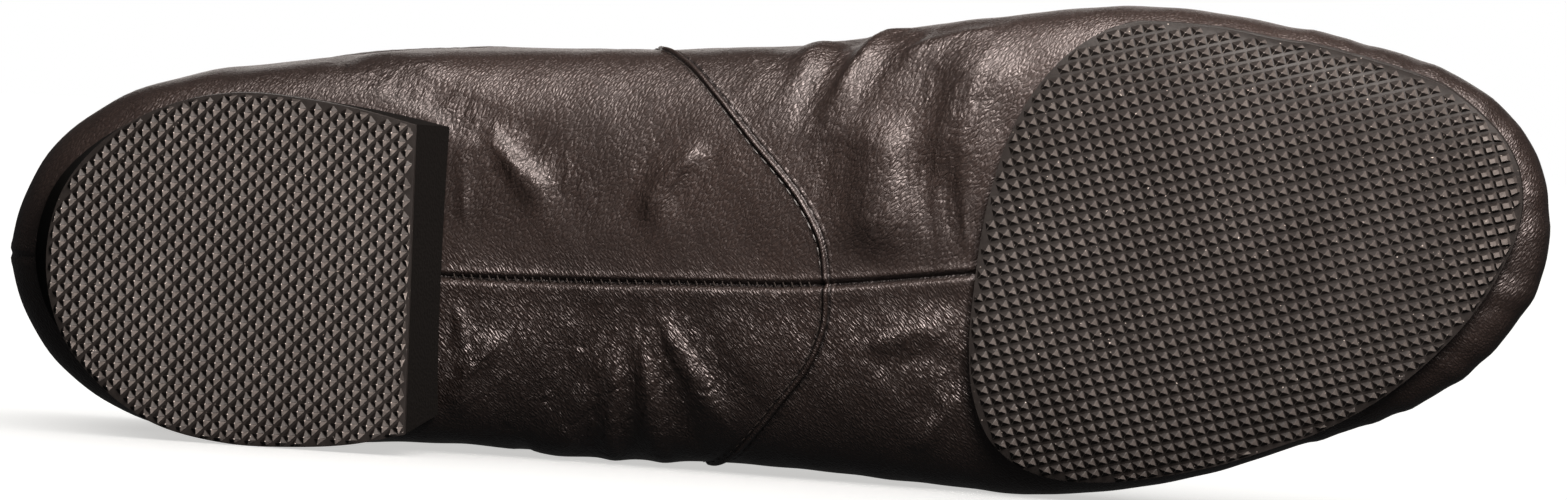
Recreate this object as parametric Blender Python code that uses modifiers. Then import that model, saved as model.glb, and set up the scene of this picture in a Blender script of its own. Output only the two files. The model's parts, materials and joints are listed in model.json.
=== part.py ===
"""A left jazz shoe with a split sole, lying on its lateral side.

Metres. The shoe is worked out standing: x runs from heel to toe, y to the lateral side, z up from the
ground. One empty then lays the whole shoe on its side, so that the sole faces -Y and the toe +X.
"""

from collections import namedtuple
from math import pi, radians

import bmesh
import bpy
import numpy as np
from mathutils import Euler, Matrix, Vector

# Driving sizes of the shoe
LENGTH = 0.280
BALL_WIDTH = 0.0866
INSTEP_HEIGHT = 0.080
HEEL_HEIGHT = 0.0158

# Walls, plies and clearances
WALL = 0.0015
GAP = 0.0003
FOLD_GAP = 0.0007
GLUE_LINE = 0.0004
PAD = 0.0022
FOREFOOT = 0.0030
SOLE_REACH = 0.955
INSOLE = 0.0020
INSOLE_REACH = 0.74
BINDING = 0.0008
BINDING_DEPTH = 0.0050
SEAM_WIDTH = 0.0036
SEAM_RISE = 0.0009

# How the shoe lies: turned off its sole, then settled on its widest points
ON_SIDE = radians(-90)
SETTLE_ROLL = radians(3.97)
SETTLE_YAW = radians(-2.83)

# Where the two end fans turn, as shares of the length
HEEL_PIVOT = 0.143
TOE_PIVOT = 0.850

# Sections between the pivots. place: share of the length. spine, lateral, medial: shares of the ball width,
# the last two measured from the spine to the widest point. under: share of the heel height.
# widest, top, line: shares of the instep height, where line is the topline that cuts the collar.
# corner, crown: how full the section is below and above its widest point.
Section = namedtuple("Section", "place spine lateral medial under widest top line corner crown")
SECTIONS = (
    Section(0.143, -0.002, 0.379, 0.388, 0.99, 0.37, 1.25, 0.77, 0.84, 0.62),
    Section(0.221, 0.007, 0.378, 0.426, 1.00, 0.38, 1.25, 0.72, 0.84, 0.62),
    Section(0.300, 0.021, 0.368, 0.456, 0.98, 0.39, 1.22, 0.71, 0.76, 0.62),
    Section(0.375, 0.024, 0.385, 0.462, 0.84, 0.37, 1.15, 0.76, 0.66, 0.60),
    Section(0.457, 0.021, 0.390, 0.465, 0.62, 0.34, 1.05, 0.89, 0.64, 0.58),
    Section(0.536, 0.016, 0.405, 0.479, 0.41, 0.30, 0.93, 1.12, 0.66, 0.56),
    Section(0.614, -0.007, 0.448, 0.502, 0.25, 0.26, 0.79, 1.20, 0.72, 0.54),
    Section(0.679, -0.030, 0.482, 0.508, 0.195, 0.22, 0.68, 1.20, 0.78, 0.54),
    Section(0.736, -0.058, 0.491, 0.495, 0.19, 0.20, 0.59, 1.20, 0.80, 0.55),
    Section(0.793, -0.090, 0.484, 0.452, 0.21, 0.195, 0.52, 1.20, 0.80, 0.57),
    Section(0.850, -0.115, 0.446, 0.394, 0.27, 0.195, 0.455, 1.20, 0.80, 0.60),
)

# Sections that turn round a pivot, from square to the side (0) to the end of the shoe (90).
# turn: degrees. lateral, medial: shares of the ball width. widest, line: shares of the instep height.
# spring: lift of the sole in that direction, as a share of the heel height.
Fan = namedtuple("Fan", "turn lateral medial widest line spring corner crown")
HEEL_FAN = (
    Fan(0, 0.379, 0.388, 0.37, 0.77, 0.0, 0.84, 0.62),
    Fan(15, 0.381, 0.382, 0.37, 0.775, 0.0, 0.84, 0.62),
    Fan(30, 0.393, 0.394, 0.37, 0.785, 0.0, 0.83, 0.62),
    Fan(45, 0.411, 0.411, 0.38, 0.80, 0.0, 0.82, 0.62),
    Fan(60, 0.433, 0.433, 0.38, 0.815, 0.0, 0.81, 0.62),
    Fan(75, 0.450, 0.448, 0.38, 0.83, 0.0, 0.80, 0.62),
    Fan(90, 0.463, 0.463, 0.38, 0.835, 0.0, 0.80, 0.62),
)
TOE_FAN = (
    Fan(0, 0.446, 0.394, 0.195, 1.2, 0.0, 0.80, 0.60),
    Fan(15, 0.425, 0.383, 0.195, 1.2, 0.0, 0.80, 0.61),
    Fan(30, 0.427, 0.394, 0.195, 1.2, 0.03, 0.80, 0.62),
    Fan(45, 0.439, 0.425, 0.195, 1.2, 0.07, 0.79, 0.64),
    Fan(60, 0.457, 0.460, 0.195, 1.2, 0.12, 0.78, 0.66),
    Fan(75, 0.479, 0.482, 0.195, 1.2, 0.16, 0.77, 0.67),
    Fan(90, 0.485, 0.485, 0.195, 1.2, 0.18, 0.77, 0.67),
)

# Outlines seen from below, as shares of the length and of the ball width, y to the lateral side.
# The heel's runs from the medial corner of the breast round the back to the lateral corner.
Spot = namedtuple("Spot", "along across")
HEEL_OUTLINE = (
    Spot(0.287, -0.306),
    Spot(0.256, -0.333),
    Spot(0.217, -0.357),
    Spot(0.172, -0.368),
    Spot(0.129, -0.343),
    Spot(0.089, -0.277),
    Spot(0.0586, -0.167),
    Spot(0.0468, -0.012),
    Spot(0.0557, 0.130),
    Spot(0.0796, 0.234),
    Spot(0.111, 0.309),
    Spot(0.162, 0.355),
    Spot(0.204, 0.361),
    Spot(0.245, 0.353),
    Spot(0.279, 0.331),
)
# The forefoot's runs from the middle of its rear edge round the medial side, and closes on itself.
FOREFOOT_OUTLINE = (
    Spot(0.640, 0.137),
    Spot(0.643, 0.020),
    Spot(0.654, -0.190),
    Spot(0.664, -0.290),
    Spot(0.680, -0.388),
    Spot(0.701, -0.465),
    Spot(0.726, -0.515),
    Spot(0.762, -0.538),
    Spot(0.802, -0.538),
    Spot(0.834, -0.527),
    Spot(0.869, -0.504),
    Spot(0.898, -0.472),
    Spot(0.922, -0.435),
    Spot(0.942, -0.394),
    Spot(0.959, -0.350),
    Spot(0.973, -0.300),
    Spot(0.982, -0.243),
    Spot(0.985, -0.180),
    Spot(0.982, -0.110),
    Spot(0.973, -0.040),
    Spot(0.957, 0.045),
    Spot(0.930, 0.143),
    Spot(0.896, 0.232),
    Spot(0.858, 0.300),
    Spot(0.815, 0.352),
    Spot(0.770, 0.388),
    Spot(0.722, 0.408),
    Spot(0.693, 0.403),
    Spot(0.670, 0.377),
    Spot(0.653, 0.326),
    Spot(0.643, 0.245),
)

# How the heel block grows from its foot to the seat: its rear undercut and its leaning breast
BLOCK_REAR = 0.025
BLOCK_BREAST = 0.298
BLOCK_SPREAD = 0.97

# The seam across the arch, from the spine to the topline: how far along the shoe it lies at each share
# of the way round the section, where 1 is the widest point and 2 the top.
Bend = namedtuple("Bend", "around lateral medial")
ARCH_SEAM = (
    Bend(0.0, 0.547, 0.547),
    Bend(0.1, 0.5455, 0.543),
    Bend(0.2, 0.538, 0.530),
    Bend(0.4, 0.513, 0.4965),
    Bend(0.6, 0.492, 0.470),
    Bend(0.8, 0.475, 0.449),
    Bend(1.0, 0.459, 0.430),
    Bend(1.15, 0.446, 0.417),
    Bend(1.3, 0.433, 0.405),
    Bend(1.7, 0.405, 0.380),
)

# How finely the surfaces are cut
HEEL_STEPS = 7
STRAIGHT_STEPS = 25
TOE_STEPS = 8
LOW_ROWS = 8
HIGH_ROWS = 10


def smooth(at, knots, values):
    """Cubic through the knots with slopes from the neighbours, held level beyond the ends."""
    at = np.clip(at, knots[0], knots[-1])
    slopes = np.gradient(values, knots)
    i = np.clip(np.searchsorted(knots, at, side="right") - 1, 0, len(knots) - 2)
    width = knots[i + 1] - knots[i]
    t = (at - knots[i]) / width
    start = (1 + 2 * t) * (1 - t) ** 2 * values[i] + t * (1 - t) ** 2 * width * slopes[i]
    end = t * t * (3 - 2 * t) * values[i + 1] + t * t * (t - 1) * width * slopes[i + 1]
    return start + end


def column(rows, name):
    return np.array([getattr(row, name) for row in rows])


# Stations count along the outline from the back of the heel, through the straight sections, to the toe
HEEL_X = HEEL_PIVOT * LENGTH
TOE_X = TOE_PIVOT * LENGTH
HEEL_SWEEP = pi / 2 * HEEL_FAN[0].lateral * BALL_WIDTH
TOE_SWEEP = pi / 2 * TOE_FAN[0].lateral * BALL_WIDTH
STRAIGHT_END = HEEL_SWEEP + TOE_X - HEEL_X
LAST = STRAIGHT_END + TOE_SWEEP


def station_table():
    """The tables' rows in order as knots along the outline, and their columns in metres."""
    heel = HEEL_FAN[:0:-1]
    toe = TOE_FAN[1:]
    between = HEEL_SWEEP + column(SECTIONS, "place") * LENGTH - HEEL_X
    before = (1 - column(heel, "turn") / 90) * HEEL_SWEEP
    beyond = STRAIGHT_END + column(toe, "turn") / 90 * TOE_SWEEP
    all_round = np.concatenate([before, between, beyond])
    table = {}
    for name, size in (("spine", BALL_WIDTH), ("under", HEEL_HEIGHT), ("top", INSTEP_HEIGHT)):
        table[name] = between, column(SECTIONS, name) * size
    for name, size in (
        ("lateral", BALL_WIDTH),
        ("medial", BALL_WIDTH),
        ("widest", INSTEP_HEIGHT),
        ("line", INSTEP_HEIGHT),
        ("corner", 1),
        ("crown", 1),
    ):
        values = np.concatenate([column(heel, name), column(SECTIONS, name), column(toe, name)])
        table[name] = all_round, values * size
    table["spring"] = np.append(STRAIGHT_END, beyond), column(TOE_FAN, "spring") * HEEL_HEIGHT
    return table


TABLE = station_table()


def slope(name):
    """Rise of a height per metre along the shoe at the toe pivot, which the toe fan carries on."""
    step = 0.001
    at = np.array([STRAIGHT_END - step, STRAIGHT_END])
    low, high = smooth(at, *TABLE[name])
    return (high - low) / step


UNDER_SLOPE = slope("under")
TOP_SLOPE = slope("top")


def station(side, s):
    """What defines the section at station s on one side (1 lateral, -1 medial)."""
    s = np.clip(np.asarray(s, float), 0, LAST)
    side = np.broadcast_to(side, s.shape)
    got = {name: smooth(s, knots, values) for name, (knots, values) in TABLE.items()}
    got["reach"] = np.where(side > 0, got["lateral"], got["medial"])
    heel_turn = np.clip(1 - s / HEEL_SWEEP, 0, 1) * pi / 2
    toe_turn = np.clip((s - STRAIGHT_END) / TOE_SWEEP, 0, 1) * pi / 2
    got["x"] = np.clip(HEEL_X + s - HEEL_SWEEP, HEEL_X, TOE_X)
    got["ahead"] = np.sin(toe_turn) - np.sin(heel_turn)
    got["aside"] = side * np.cos(toe_turn) * np.cos(heel_turn)
    got["under_lean"] = UNDER_SLOPE * np.sin(toe_turn) * got["corner"] * got["reach"] + got["spring"]
    got["top_lean"] = TOP_SLOPE * np.sin(toe_turn) * got["crown"] * got["reach"]
    return got


def bezier(t, a, b, c, d):
    return a * (1 - t) ** 3 + 3 * b * t * (1 - t) ** 2 + 3 * c * t * t * (1 - t) + d * t**3


def surface(side, s, around):
    """Outer face of the upper. around runs from 0 at the spine below, by 1 at the widest point, to 2 on top."""
    at = station(side, s)
    around = np.asarray(around, float)
    low = np.clip(around, 0, 1)
    high = np.clip(around - 1, 0, 1)
    corner, crown = at["corner"], at["crown"]
    under, widest, top = at["under"], at["widest"], at["top"]
    out_low = bezier(low, 0, corner, 1, 1)
    up_low = bezier(low, under, under + at["under_lean"], widest - corner * (widest - under), widest)
    out_high = bezier(high, 1, 1, crown, 0)
    up_high = bezier(high, widest, widest + crown * (top - widest), top + at["top_lean"], top)
    out = np.where(around <= 1, out_low, out_high) * at["reach"]
    x = at["x"] + at["ahead"] * out
    y = at["spine"] + at["aside"] * out
    z = np.where(around <= 1, up_low, up_high)
    return np.stack([x, y, z], axis=-1)


def normal(side, s, around):
    """Outward direction of the upper's face."""
    step = 1e-4
    along = surface(side, s + step, around) - surface(side, s - step, around)
    up = surface(side, s, around + step) - surface(side, s, around - step)
    out = np.cross(along, up) * -np.reshape(side * np.ones(np.shape(s)), np.shape(s) + (1,))
    return out / np.linalg.norm(out, axis=-1, keepdims=True)


def bisect(function, target, low, high):
    """Where a rising function meets the target, for whole arrays."""
    low = np.full(np.shape(target), low, float)
    high = np.full(np.shape(target), high, float)
    for _ in range(40):
        middle = (low + high) / 2
        under = function(middle) < target
        low = np.where(under, middle, low)
        high = np.where(under, high, middle)
    return (low + high) / 2


def rim_around(side, s):
    """How far round the section the topline cuts it, 2 where the vamp is closed."""
    line = station(side, s)["line"]
    return bisect(lambda around: surface(side, s, around)[..., 2], line, 1, 2)


def polar(x, y):
    """Side, station and distance from the spine of points of the ground, and their foot on the spine."""
    s = HEEL_SWEEP + np.clip(x, HEEL_X, TOE_X) - HEEL_X
    foot = np.stack([np.clip(x, HEEL_X, TOE_X), smooth(s, *TABLE["spine"])], axis=-1)
    ahead, aside = x - foot[..., 0], y - foot[..., 1]
    side = np.where(aside >= 0, 1.0, -1.0)
    turn = np.arctan2(np.abs(ahead), np.abs(aside) + 1e-12) / (pi / 2)
    s = np.where(x < HEEL_X, (1 - turn) * HEEL_SWEEP, s)
    s = np.where(x > TOE_X, STRAIGHT_END + turn * TOE_SWEEP, s)
    return side, s, np.hypot(ahead, aside), foot


def underside(x, y):
    """Height of the upper's outer face over a point of the ground inside the outline."""
    side, s, out, _ = polar(np.asarray(x, float), np.asarray(y, float))
    at = station(side, s)
    share = np.clip(out / at["reach"], 0, 0.999)
    around = bisect(lambda t: bezier(t, 0, at["corner"], 1, 1), share, 0, 1)
    return surface(side, s, around)[..., 2]


def held_in(outline, most):
    """An outline drawn in to a share of the upper's own reach wherever it passes it."""
    side, s, out, foot = polar(outline[:, 0], outline[:, 1])
    limit = station(side, s)["reach"] * most
    keep = np.minimum(1, limit / out)[:, None]
    return foot + (outline - foot) * keep


def below(x, y, depth):
    """Height of a face that lies a depth under the upper's own, square to it."""
    step = 2e-4
    lean = (underside(x + step, y) - underside(x - step, y)) / (2 * step)
    tilt = (underside(x, y + step) - underside(x, y - step)) / (2 * step)
    return underside(x, y) - depth * np.sqrt(1 + lean**2 + tilt**2)


def throat():
    """Station where the topline closes over the vamp."""
    s = np.linspace(HEEL_SWEEP, STRAIGHT_END, 4001)
    at = station(1, s)
    return s[np.argmax(at["line"] >= at["top"])]


THROAT = throat()


def stations():
    """Stations of one side, crowded where the collar's front end rounds off."""
    heel = np.linspace(0, HEEL_SWEEP, HEEL_STEPS + 1)
    back = round(STRAIGHT_STEPS * (THROAT - HEEL_SWEEP) / (STRAIGHT_END - HEEL_SWEEP))
    turn = np.linspace(0, 1, back + 3)[1:]
    collar = HEEL_SWEEP + (THROAT - HEEL_SWEEP) * (1 - (1 - turn) ** 1.7)
    vamp = np.linspace(THROAT, STRAIGHT_END, STRAIGHT_STEPS - back + 1)[1:]
    toe = np.linspace(STRAIGHT_END, LAST, TOE_STEPS + 1)[1:]
    return np.concatenate([heel, collar, vamp, toe])


def mesh_object(name, points, faces, material, weld=0.0):
    """An object from points and faces, with coinciding points made one."""
    mesh = bpy.data.meshes.new(name)
    mesh.from_pydata(np.asarray(points).tolist(), [], faces)
    if weld:
        cage = bmesh.new()
        cage.from_mesh(mesh)
        bmesh.ops.remove_doubles(cage, verts=cage.verts, dist=weld)
        cage.to_mesh(mesh)
        cage.free()
    mesh.validate()
    mesh.materials.append(material)
    item = bpy.data.objects.new(name, mesh)
    item.parent = LYING
    SHOE.objects.link(item)
    return item


def finish(item, angle=40):
    """Smooth shading that keeps true edges sharp."""
    item.data.shade_smooth()
    item.data.set_sharp_from_angle(angle=radians(angle))


def material(name, colour, roughness, metallic=0.0):
    made = bpy.data.materials.new(name)
    made.use_nodes = True
    shader = made.node_tree.nodes["Principled BSDF"]
    shader.inputs["Base Color"].default_value = (*colour, 1)
    shader.inputs["Roughness"].default_value = roughness
    shader.inputs["Metallic"].default_value = metallic
    return made


def grid_faces(rows, columns, flip=False, close=False):
    """Quads of a grid whose points are stored row by row. close joins the last column to the first."""
    faces = []
    for i in range(rows - 1):
        for j in range(columns if close else columns - 1):
            k = (j + 1) % columns
            quad = (i * columns + j, i * columns + k, (i + 1) * columns + k, (i + 1) * columns + j)
            faces.append(quad[::-1] if flip else quad)
    return faces


def both_sides(grid_of_side):
    """Points and faces of two side grids, each a row for every station, outward."""
    points, faces = [], []
    for side in (1, -1):
        grid = grid_of_side(side)
        rows, columns = grid.shape[:2]
        start = len(points)
        points.extend(grid.reshape(-1, 3))
        more = grid_faces(rows, columns, flip=side < 0)
        faces.extend(tuple(start + corner for corner in face) for face in more)
    return points, faces


def build_upper():
    s = stations()
    low = np.sin(np.linspace(0, 1, LOW_ROWS + 1) * pi / 2) ** 0.8
    high = np.linspace(0, 1, HIGH_ROWS + 1)[1:]

    def grid(side):
        rim = rim_around(side, s)
        around = np.concatenate(
            [np.broadcast_to(low, (len(s), len(low))), 1 + high[None, :] * (rim - 1)[:, None]], axis=1
        )
        return surface(side, s[:, None] + 0 * around, around)

    points, faces = both_sides(grid)
    upper = mesh_object("upper", points, faces, material("upper leather", (0.035, 0.028, 0.026), 0.45), 1e-6)
    shell = upper.modifiers.new("wall", "SOLIDIFY")
    shell.thickness = WALL
    shell.offset = -1
    shell.use_even_offset = True
    finish(upper)


def build_insole():
    s = stations()
    shares = np.array([0.0, 0.35, 0.6, 0.86, 1.0]) * INSOLE_REACH

    def grid(side):
        at = station(side, s)
        out = shares[None, :] * at["reach"][:, None]
        x = at["x"][:, None] + at["ahead"][:, None] * out
        y = at["spine"][:, None] + at["aside"][:, None] * out
        z = underside(x, y) + WALL + 2 * GAP
        return np.stack([x, y, z], axis=-1)

    points, faces = both_sides(grid)
    insole = mesh_object("insole", points, faces, material("insole fabric", (0.03, 0.03, 0.03), 0.9), 1e-6)
    sheet = insole.modifiers.new("thickness", "SOLIDIFY")
    sheet.thickness = INSOLE
    sheet.offset = -1
    finish(insole)


def curve_through(spots, count, closed=False):
    """Evenly spaced points on a smooth curve through the spots."""
    points = np.array([(spot.along * LENGTH, spot.across * BALL_WIDTH) for spot in spots])
    if closed:
        points = np.concatenate([points[-3:], points, points[:3]])
    lengths = np.concatenate([[0], np.cumsum(np.hypot(*np.diff(points, axis=0).T))])
    first, last = (lengths[3], lengths[-3]) if closed else (0, lengths[-1])
    at = np.linspace(first, last, count + 1 if closed else count)
    curve = np.stack([smooth(at, lengths, points[:, 0]), smooth(at, lengths, points[:, 1])], axis=-1)
    return curve[:-1] if closed else curve


def disc(name, low, high, under, over, shares, made):
    """A closed plate between a lower and an upper outline, each filled in rings towards its middle."""
    count = len(low)
    rings = []
    for share in shares:
        rings.append((low, share, under))
    for share in shares[::-1]:
        rings.append((high, share, over))
    points = []
    for outline, share, height in rings:
        middle = outline.mean(axis=0)
        flat = middle + (outline - middle) * share
        points.append(np.column_stack([flat, height(flat[:, 0], flat[:, 1])]))
    faces = grid_faces(len(rings), count, close=True)
    item = mesh_object(name, np.concatenate(points), faces, made, 1e-7)
    cage = bmesh.new()
    cage.from_mesh(item.data)
    bmesh.ops.recalc_face_normals(cage, faces=cage.faces)
    cage.to_mesh(item.data)
    cage.free()
    finish(item)
    return item


def level(height):
    return lambda x, y: np.full(np.shape(x), height)


def heel_outline():
    curve = curve_through(HEEL_OUTLINE, 38)
    breast = curve[-1] + (curve[0] - curve[-1]) * np.linspace(0, 1, 9)[1:-1, None]
    return np.concatenate([curve, breast])


def build_heel():
    foot = heel_outline()
    front, rear = foot[:, 0].max(), foot[:, 0].min()
    grow = (BLOCK_BREAST - BLOCK_REAR) * LENGTH / (front - rear)
    middle = foot[:, 1].mean()
    seat = np.column_stack(
        [
            BLOCK_BREAST * LENGTH - (front - foot[:, 0]) * grow,
            middle + (foot[:, 1] - middle) * BLOCK_SPREAD,
        ]
    )
    foam = material("heel foam", (0.012, 0.010, 0.009), 0.95)
    disc(
        "heel_block",
        foot,
        seat,
        level(PAD + GAP),
        lambda x, y: below(x, y, 2 * GAP),
        (0.0, 0.5, 0.75, 0.9, 1.0),
        foam,
    )
    rubber = material("heel rubber", (0.055, 0.045, 0.042), 0.8)
    disc("heel_pad", foot, foot, level(0.0), level(PAD), (0.0, 1.0), rubber)


def build_forefoot():
    outline = held_in(curve_through(FOREFOOT_OUTLINE, 52, closed=True), SOLE_REACH)
    rubber = material("sole rubber", (0.055, 0.046, 0.043), 0.8)
    disc(
        "forefoot_sole",
        outline,
        outline,
        lambda x, y: np.maximum(0, below(x, y, GLUE_LINE + FOREFOOT)),
        lambda x, y: below(x, y, GLUE_LINE),
        (0.0, 0.3, 0.55, 0.75, 0.88, 0.95, 1.0),
        rubber,
    )


def ribbon(name, rings, made, closed):
    """A solid from rings of points in order along a path, closed on itself or capped at its ends."""
    count = len(rings[0])
    points = np.concatenate(rings)
    faces = grid_faces(len(rings) + (1 if closed else 0), count, close=True)
    if closed:
        faces = [tuple(corner % len(points) for corner in face) for face in faces]
    else:
        faces.append(tuple(range(count)))
        faces.append(tuple(range(len(points) - count, len(points)))[::-1])
    item = mesh_object(name, points, faces, made)
    cage = bmesh.new()
    cage.from_mesh(item.data)
    bmesh.ops.recalc_face_normals(cage, faces=cage.faces)
    cage.to_mesh(item.data)
    cage.free()
    finish(item)
    return item


def walk(side, s, around, direction, distance):
    """The station and turn reached by going a distance over the face in a direction."""
    step = 1e-5
    here = surface(side, s, around)
    along = (surface(side, s + step, around) - here) / step
    rise = np.where(np.asarray(around) < 1, step, -step)
    up = (surface(side, s, around + rise) - here) / rise[:, None]
    wanted = direction * distance
    a, b, c = (along * along).sum(-1), (along * up).sum(-1), (up * up).sum(-1)
    p, q = (along * wanted).sum(-1), (up * wanted).sum(-1)
    det = a * c - b * b
    return s + (p * c - q * b) / det, around + (a * q - b * p) / det


def topline():
    """Rim of the collar, from the back along the lateral side to the throat and home on the medial side."""
    s = stations()
    s = s[s <= THROAT + 1e-9]
    parts = []
    for side, order in ((1, s), (-1, s[::-1][1:-1])):
        around = rim_around(side, order)
        parts.append(np.column_stack([np.full(len(order), side), order, around]))
    return np.concatenate(parts)


def build_binding():
    """A folded band over the rim: both legs follow the upper's own face."""
    rim = topline()
    side, s, around = rim.T
    edge = surface(side, s, around)
    ahead = np.roll(edge, -1, axis=0) - np.roll(edge, 1, axis=0)
    ahead /= np.linalg.norm(ahead, axis=1, keepdims=True)
    out = normal(side, s, np.minimum(around, 1.999))
    down = np.cross(out, ahead)
    down /= np.linalg.norm(down, axis=1, keepdims=True)
    down *= np.where(down[:, 2:] > 0, -1, 1)
    near, far = FOLD_GAP, FOLD_GAP + BINDING
    inner_near, inner_far = -WALL - near, -WALL - far
    legs = []
    for depth in (BINDING_DEPTH, BINDING_DEPTH / 2, 0.0):
        at_s, at_around = walk(side, s, around, down, depth)
        at_around = np.clip(at_around, 0, 1.999)
        point = surface(side, at_s, at_around)
        legs.append((point, normal(side, at_s, at_around)))
    rings = []
    for i in range(len(rim)):
        (low, low_out), (mid, mid_out), (top, top_out) = ((p[i], n[i]) for p, n in legs)
        up = -down[i]
        rings.append(
            np.array(
                [
                    low + low_out * near,
                    low + low_out * far,
                    mid + mid_out * far,
                    top + top_out * far,
                    top + top_out * (far - 0.0006) + up * far,
                    top + top_out * (inner_far + 0.0006) + up * far,
                    top + top_out * inner_far,
                    mid + mid_out * inner_far,
                    low + low_out * inner_far,
                    low + low_out * inner_near,
                    mid + mid_out * inner_near,
                    top + top_out * inner_near + up * near,
                    top + top_out * near + up * near,
                    mid + mid_out * near,
                ]
            )
        )
    ribbon("collar_binding", rings, material("binding leather", (0.030, 0.025, 0.023), 0.5), closed=True)


def build_arch_seam():
    """A low rounded strip on the upper's face, under the arch and up both sides to the binding."""
    knots = column(ARCH_SEAM, "around")
    rings = []
    for side in (-1, 1):
        places = column(ARCH_SEAM, "medial" if side < 0 else "lateral") * LENGTH
        around = np.linspace(0, 1.7, 200)
        s = HEEL_SWEEP + smooth(around, knots, places) - HEEL_X
        inside = around < rim_around(side, s) - 0.13
        around, s = around[inside], s[inside]
        path = surface(side, s, around)
        lengths = np.concatenate([[0], np.cumsum(np.linalg.norm(np.diff(path, axis=0), axis=1))])
        at = np.linspace(0, lengths[-1], 25)
        around = np.interp(at, lengths, around)
        s = np.interp(at, lengths, s)
        path = surface(side, s, around)
        out = normal(side, s, np.clip(around, 0.001, 2))
        ahead = np.gradient(path, axis=0)
        ahead /= np.linalg.norm(ahead, axis=1, keepdims=True)
        across = np.cross(ahead, out)
        across *= np.sign(across[:, :1])
        half = SEAM_WIDTH / 2
        columns = []
        for share, rise in ((-1, 0.25), (-0.6, 0.85), (0, 1.0), (0.6, 0.85), (1, 0.25)):
            at_s, at_around = walk(side, s, around, across, half * share)
            face = surface(side, at_s, np.maximum(at_around, 0))
            columns.append(face + normal(side, at_s, np.clip(at_around, 0.001, 2)) * (GAP + SEAM_RISE * rise))
        for share in (1, 0, -1):
            at_s, at_around = walk(side, s, around, across, half * share)
            face = surface(side, at_s, np.maximum(at_around, 0))
            columns.append(face + normal(side, at_s, np.clip(at_around, 0.001, 2)) * GAP)
        strip = np.stack(columns, axis=1)
        rings.extend(strip[::-1] if side < 0 else strip[1:])
    ribbon("arch_seam", rings, material("seam leather", (0.040, 0.032, 0.030), 0.45), closed=False)


def lay_down():
    """Turn the shoe on its side and set the origin under the middle of its bounding box."""
    turn = (
        Euler((SETTLE_ROLL, SETTLE_YAW, 0)).to_matrix() @ Matrix.Rotation(ON_SIDE, 3, "X")
    ).to_4x4()
    bpy.context.view_layer.update()
    graph = bpy.context.evaluated_depsgraph_get()
    corners = []
    for item in SHOE.objects:
        if item.type != "MESH":
            continue
        mesh = item.evaluated_get(graph).to_mesh()
        points = np.empty(len(mesh.vertices) * 3, np.float32)
        mesh.vertices.foreach_get("co", points)
        corners.append(points.reshape(-1, 3))
    placed = np.concatenate(corners) @ np.array(turn.to_3x3()).T
    low, high = placed.min(axis=0), placed.max(axis=0)
    shift = Vector((-(low[0] + high[0]) / 2, -(low[1] + high[1]) / 2, -low[2]))
    LYING.matrix_world = Matrix.Translation(shift) @ turn


for old in list(bpy.data.objects):
    bpy.data.objects.remove(old, do_unlink=True)
SHOE = bpy.data.collections.new("jazz shoe")
bpy.context.scene.collection.children.link(SHOE)
LYING = bpy.data.objects.new("lying", None)
SHOE.objects.link(LYING)

build_upper()
build_insole()
build_heel()
build_forefoot()
build_binding()
build_arch_seam()
lay_down()
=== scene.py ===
"""Looks of a left jazz shoe with a split sole, lying on its lateral side on a pale floor.

Shapes are worked out standing, in metres: x runs from heel to toe, y to the lateral side, z up from the
ground. laid() then turns them on their side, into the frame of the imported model.
"""

import json
from collections import namedtuple
from math import pi, radians

import bmesh
import bpy
import numpy as np
from bpy.props import FloatProperty, FloatVectorProperty, PointerProperty
from bpy.types import Operator, Panel, PropertyGroup
from mathutils import Euler, Matrix, Vector

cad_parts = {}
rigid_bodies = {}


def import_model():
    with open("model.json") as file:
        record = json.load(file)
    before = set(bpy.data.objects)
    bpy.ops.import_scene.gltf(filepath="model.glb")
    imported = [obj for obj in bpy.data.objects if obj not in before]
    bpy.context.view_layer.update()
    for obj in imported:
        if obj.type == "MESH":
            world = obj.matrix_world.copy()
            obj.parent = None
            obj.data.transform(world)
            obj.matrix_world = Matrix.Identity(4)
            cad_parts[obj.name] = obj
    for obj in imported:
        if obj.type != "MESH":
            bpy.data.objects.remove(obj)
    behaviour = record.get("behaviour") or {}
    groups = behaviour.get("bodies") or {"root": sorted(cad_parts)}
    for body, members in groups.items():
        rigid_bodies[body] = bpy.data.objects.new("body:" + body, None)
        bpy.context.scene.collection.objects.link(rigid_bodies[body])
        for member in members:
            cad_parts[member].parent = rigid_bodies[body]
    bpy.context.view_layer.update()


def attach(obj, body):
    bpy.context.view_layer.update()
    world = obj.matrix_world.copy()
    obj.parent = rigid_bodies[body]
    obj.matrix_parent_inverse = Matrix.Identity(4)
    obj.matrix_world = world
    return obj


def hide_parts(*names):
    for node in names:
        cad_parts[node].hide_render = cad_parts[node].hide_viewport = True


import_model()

bl_info = {
    "name": "Jazz shoe",
    "version": (1, 0, 0),
    "blender": (4, 5, 0),
    "location": "3D View > Sidebar > Shoe",
    "description": "Leather, rubber, foam and cloth of a split-sole jazz shoe, and a studio to see it in",
    "category": "Object",
}

MM = 0.001

# Driving sizes of the shoe, as in its solids
LENGTH = 0.280
BALL_WIDTH = 0.0866
INSTEP_HEIGHT = 0.080
HEEL_HEIGHT = 0.0158
WALL = 0.0015
GAP = 0.0003
BAND_GAP = 0.0001
GLUE_LINE = 0.0004
PAD = 0.0022
FOREFOOT = 0.0030
SOLE_REACH = 0.955
INSOLE = 0.0020
INSOLE_REACH = 0.74
BINDING = 0.0008
BINDING_DEPTH = 0.0050

# How far round a section its face still has two clear slopes: at 2 the sides meet
NEAR_TOP = 1.996

# How the shoe lies: turned off its sole, settled on its widest points, then moved over the origin
ON_SIDE = radians(-90)
SETTLE_ROLL = radians(3.97)
SETTLE_YAW = radians(-2.83)
MOVED = Vector((-0.139474, -0.039465, 0.028585))

HEEL_PIVOT = 0.143
TOE_PIVOT = 0.850

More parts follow.
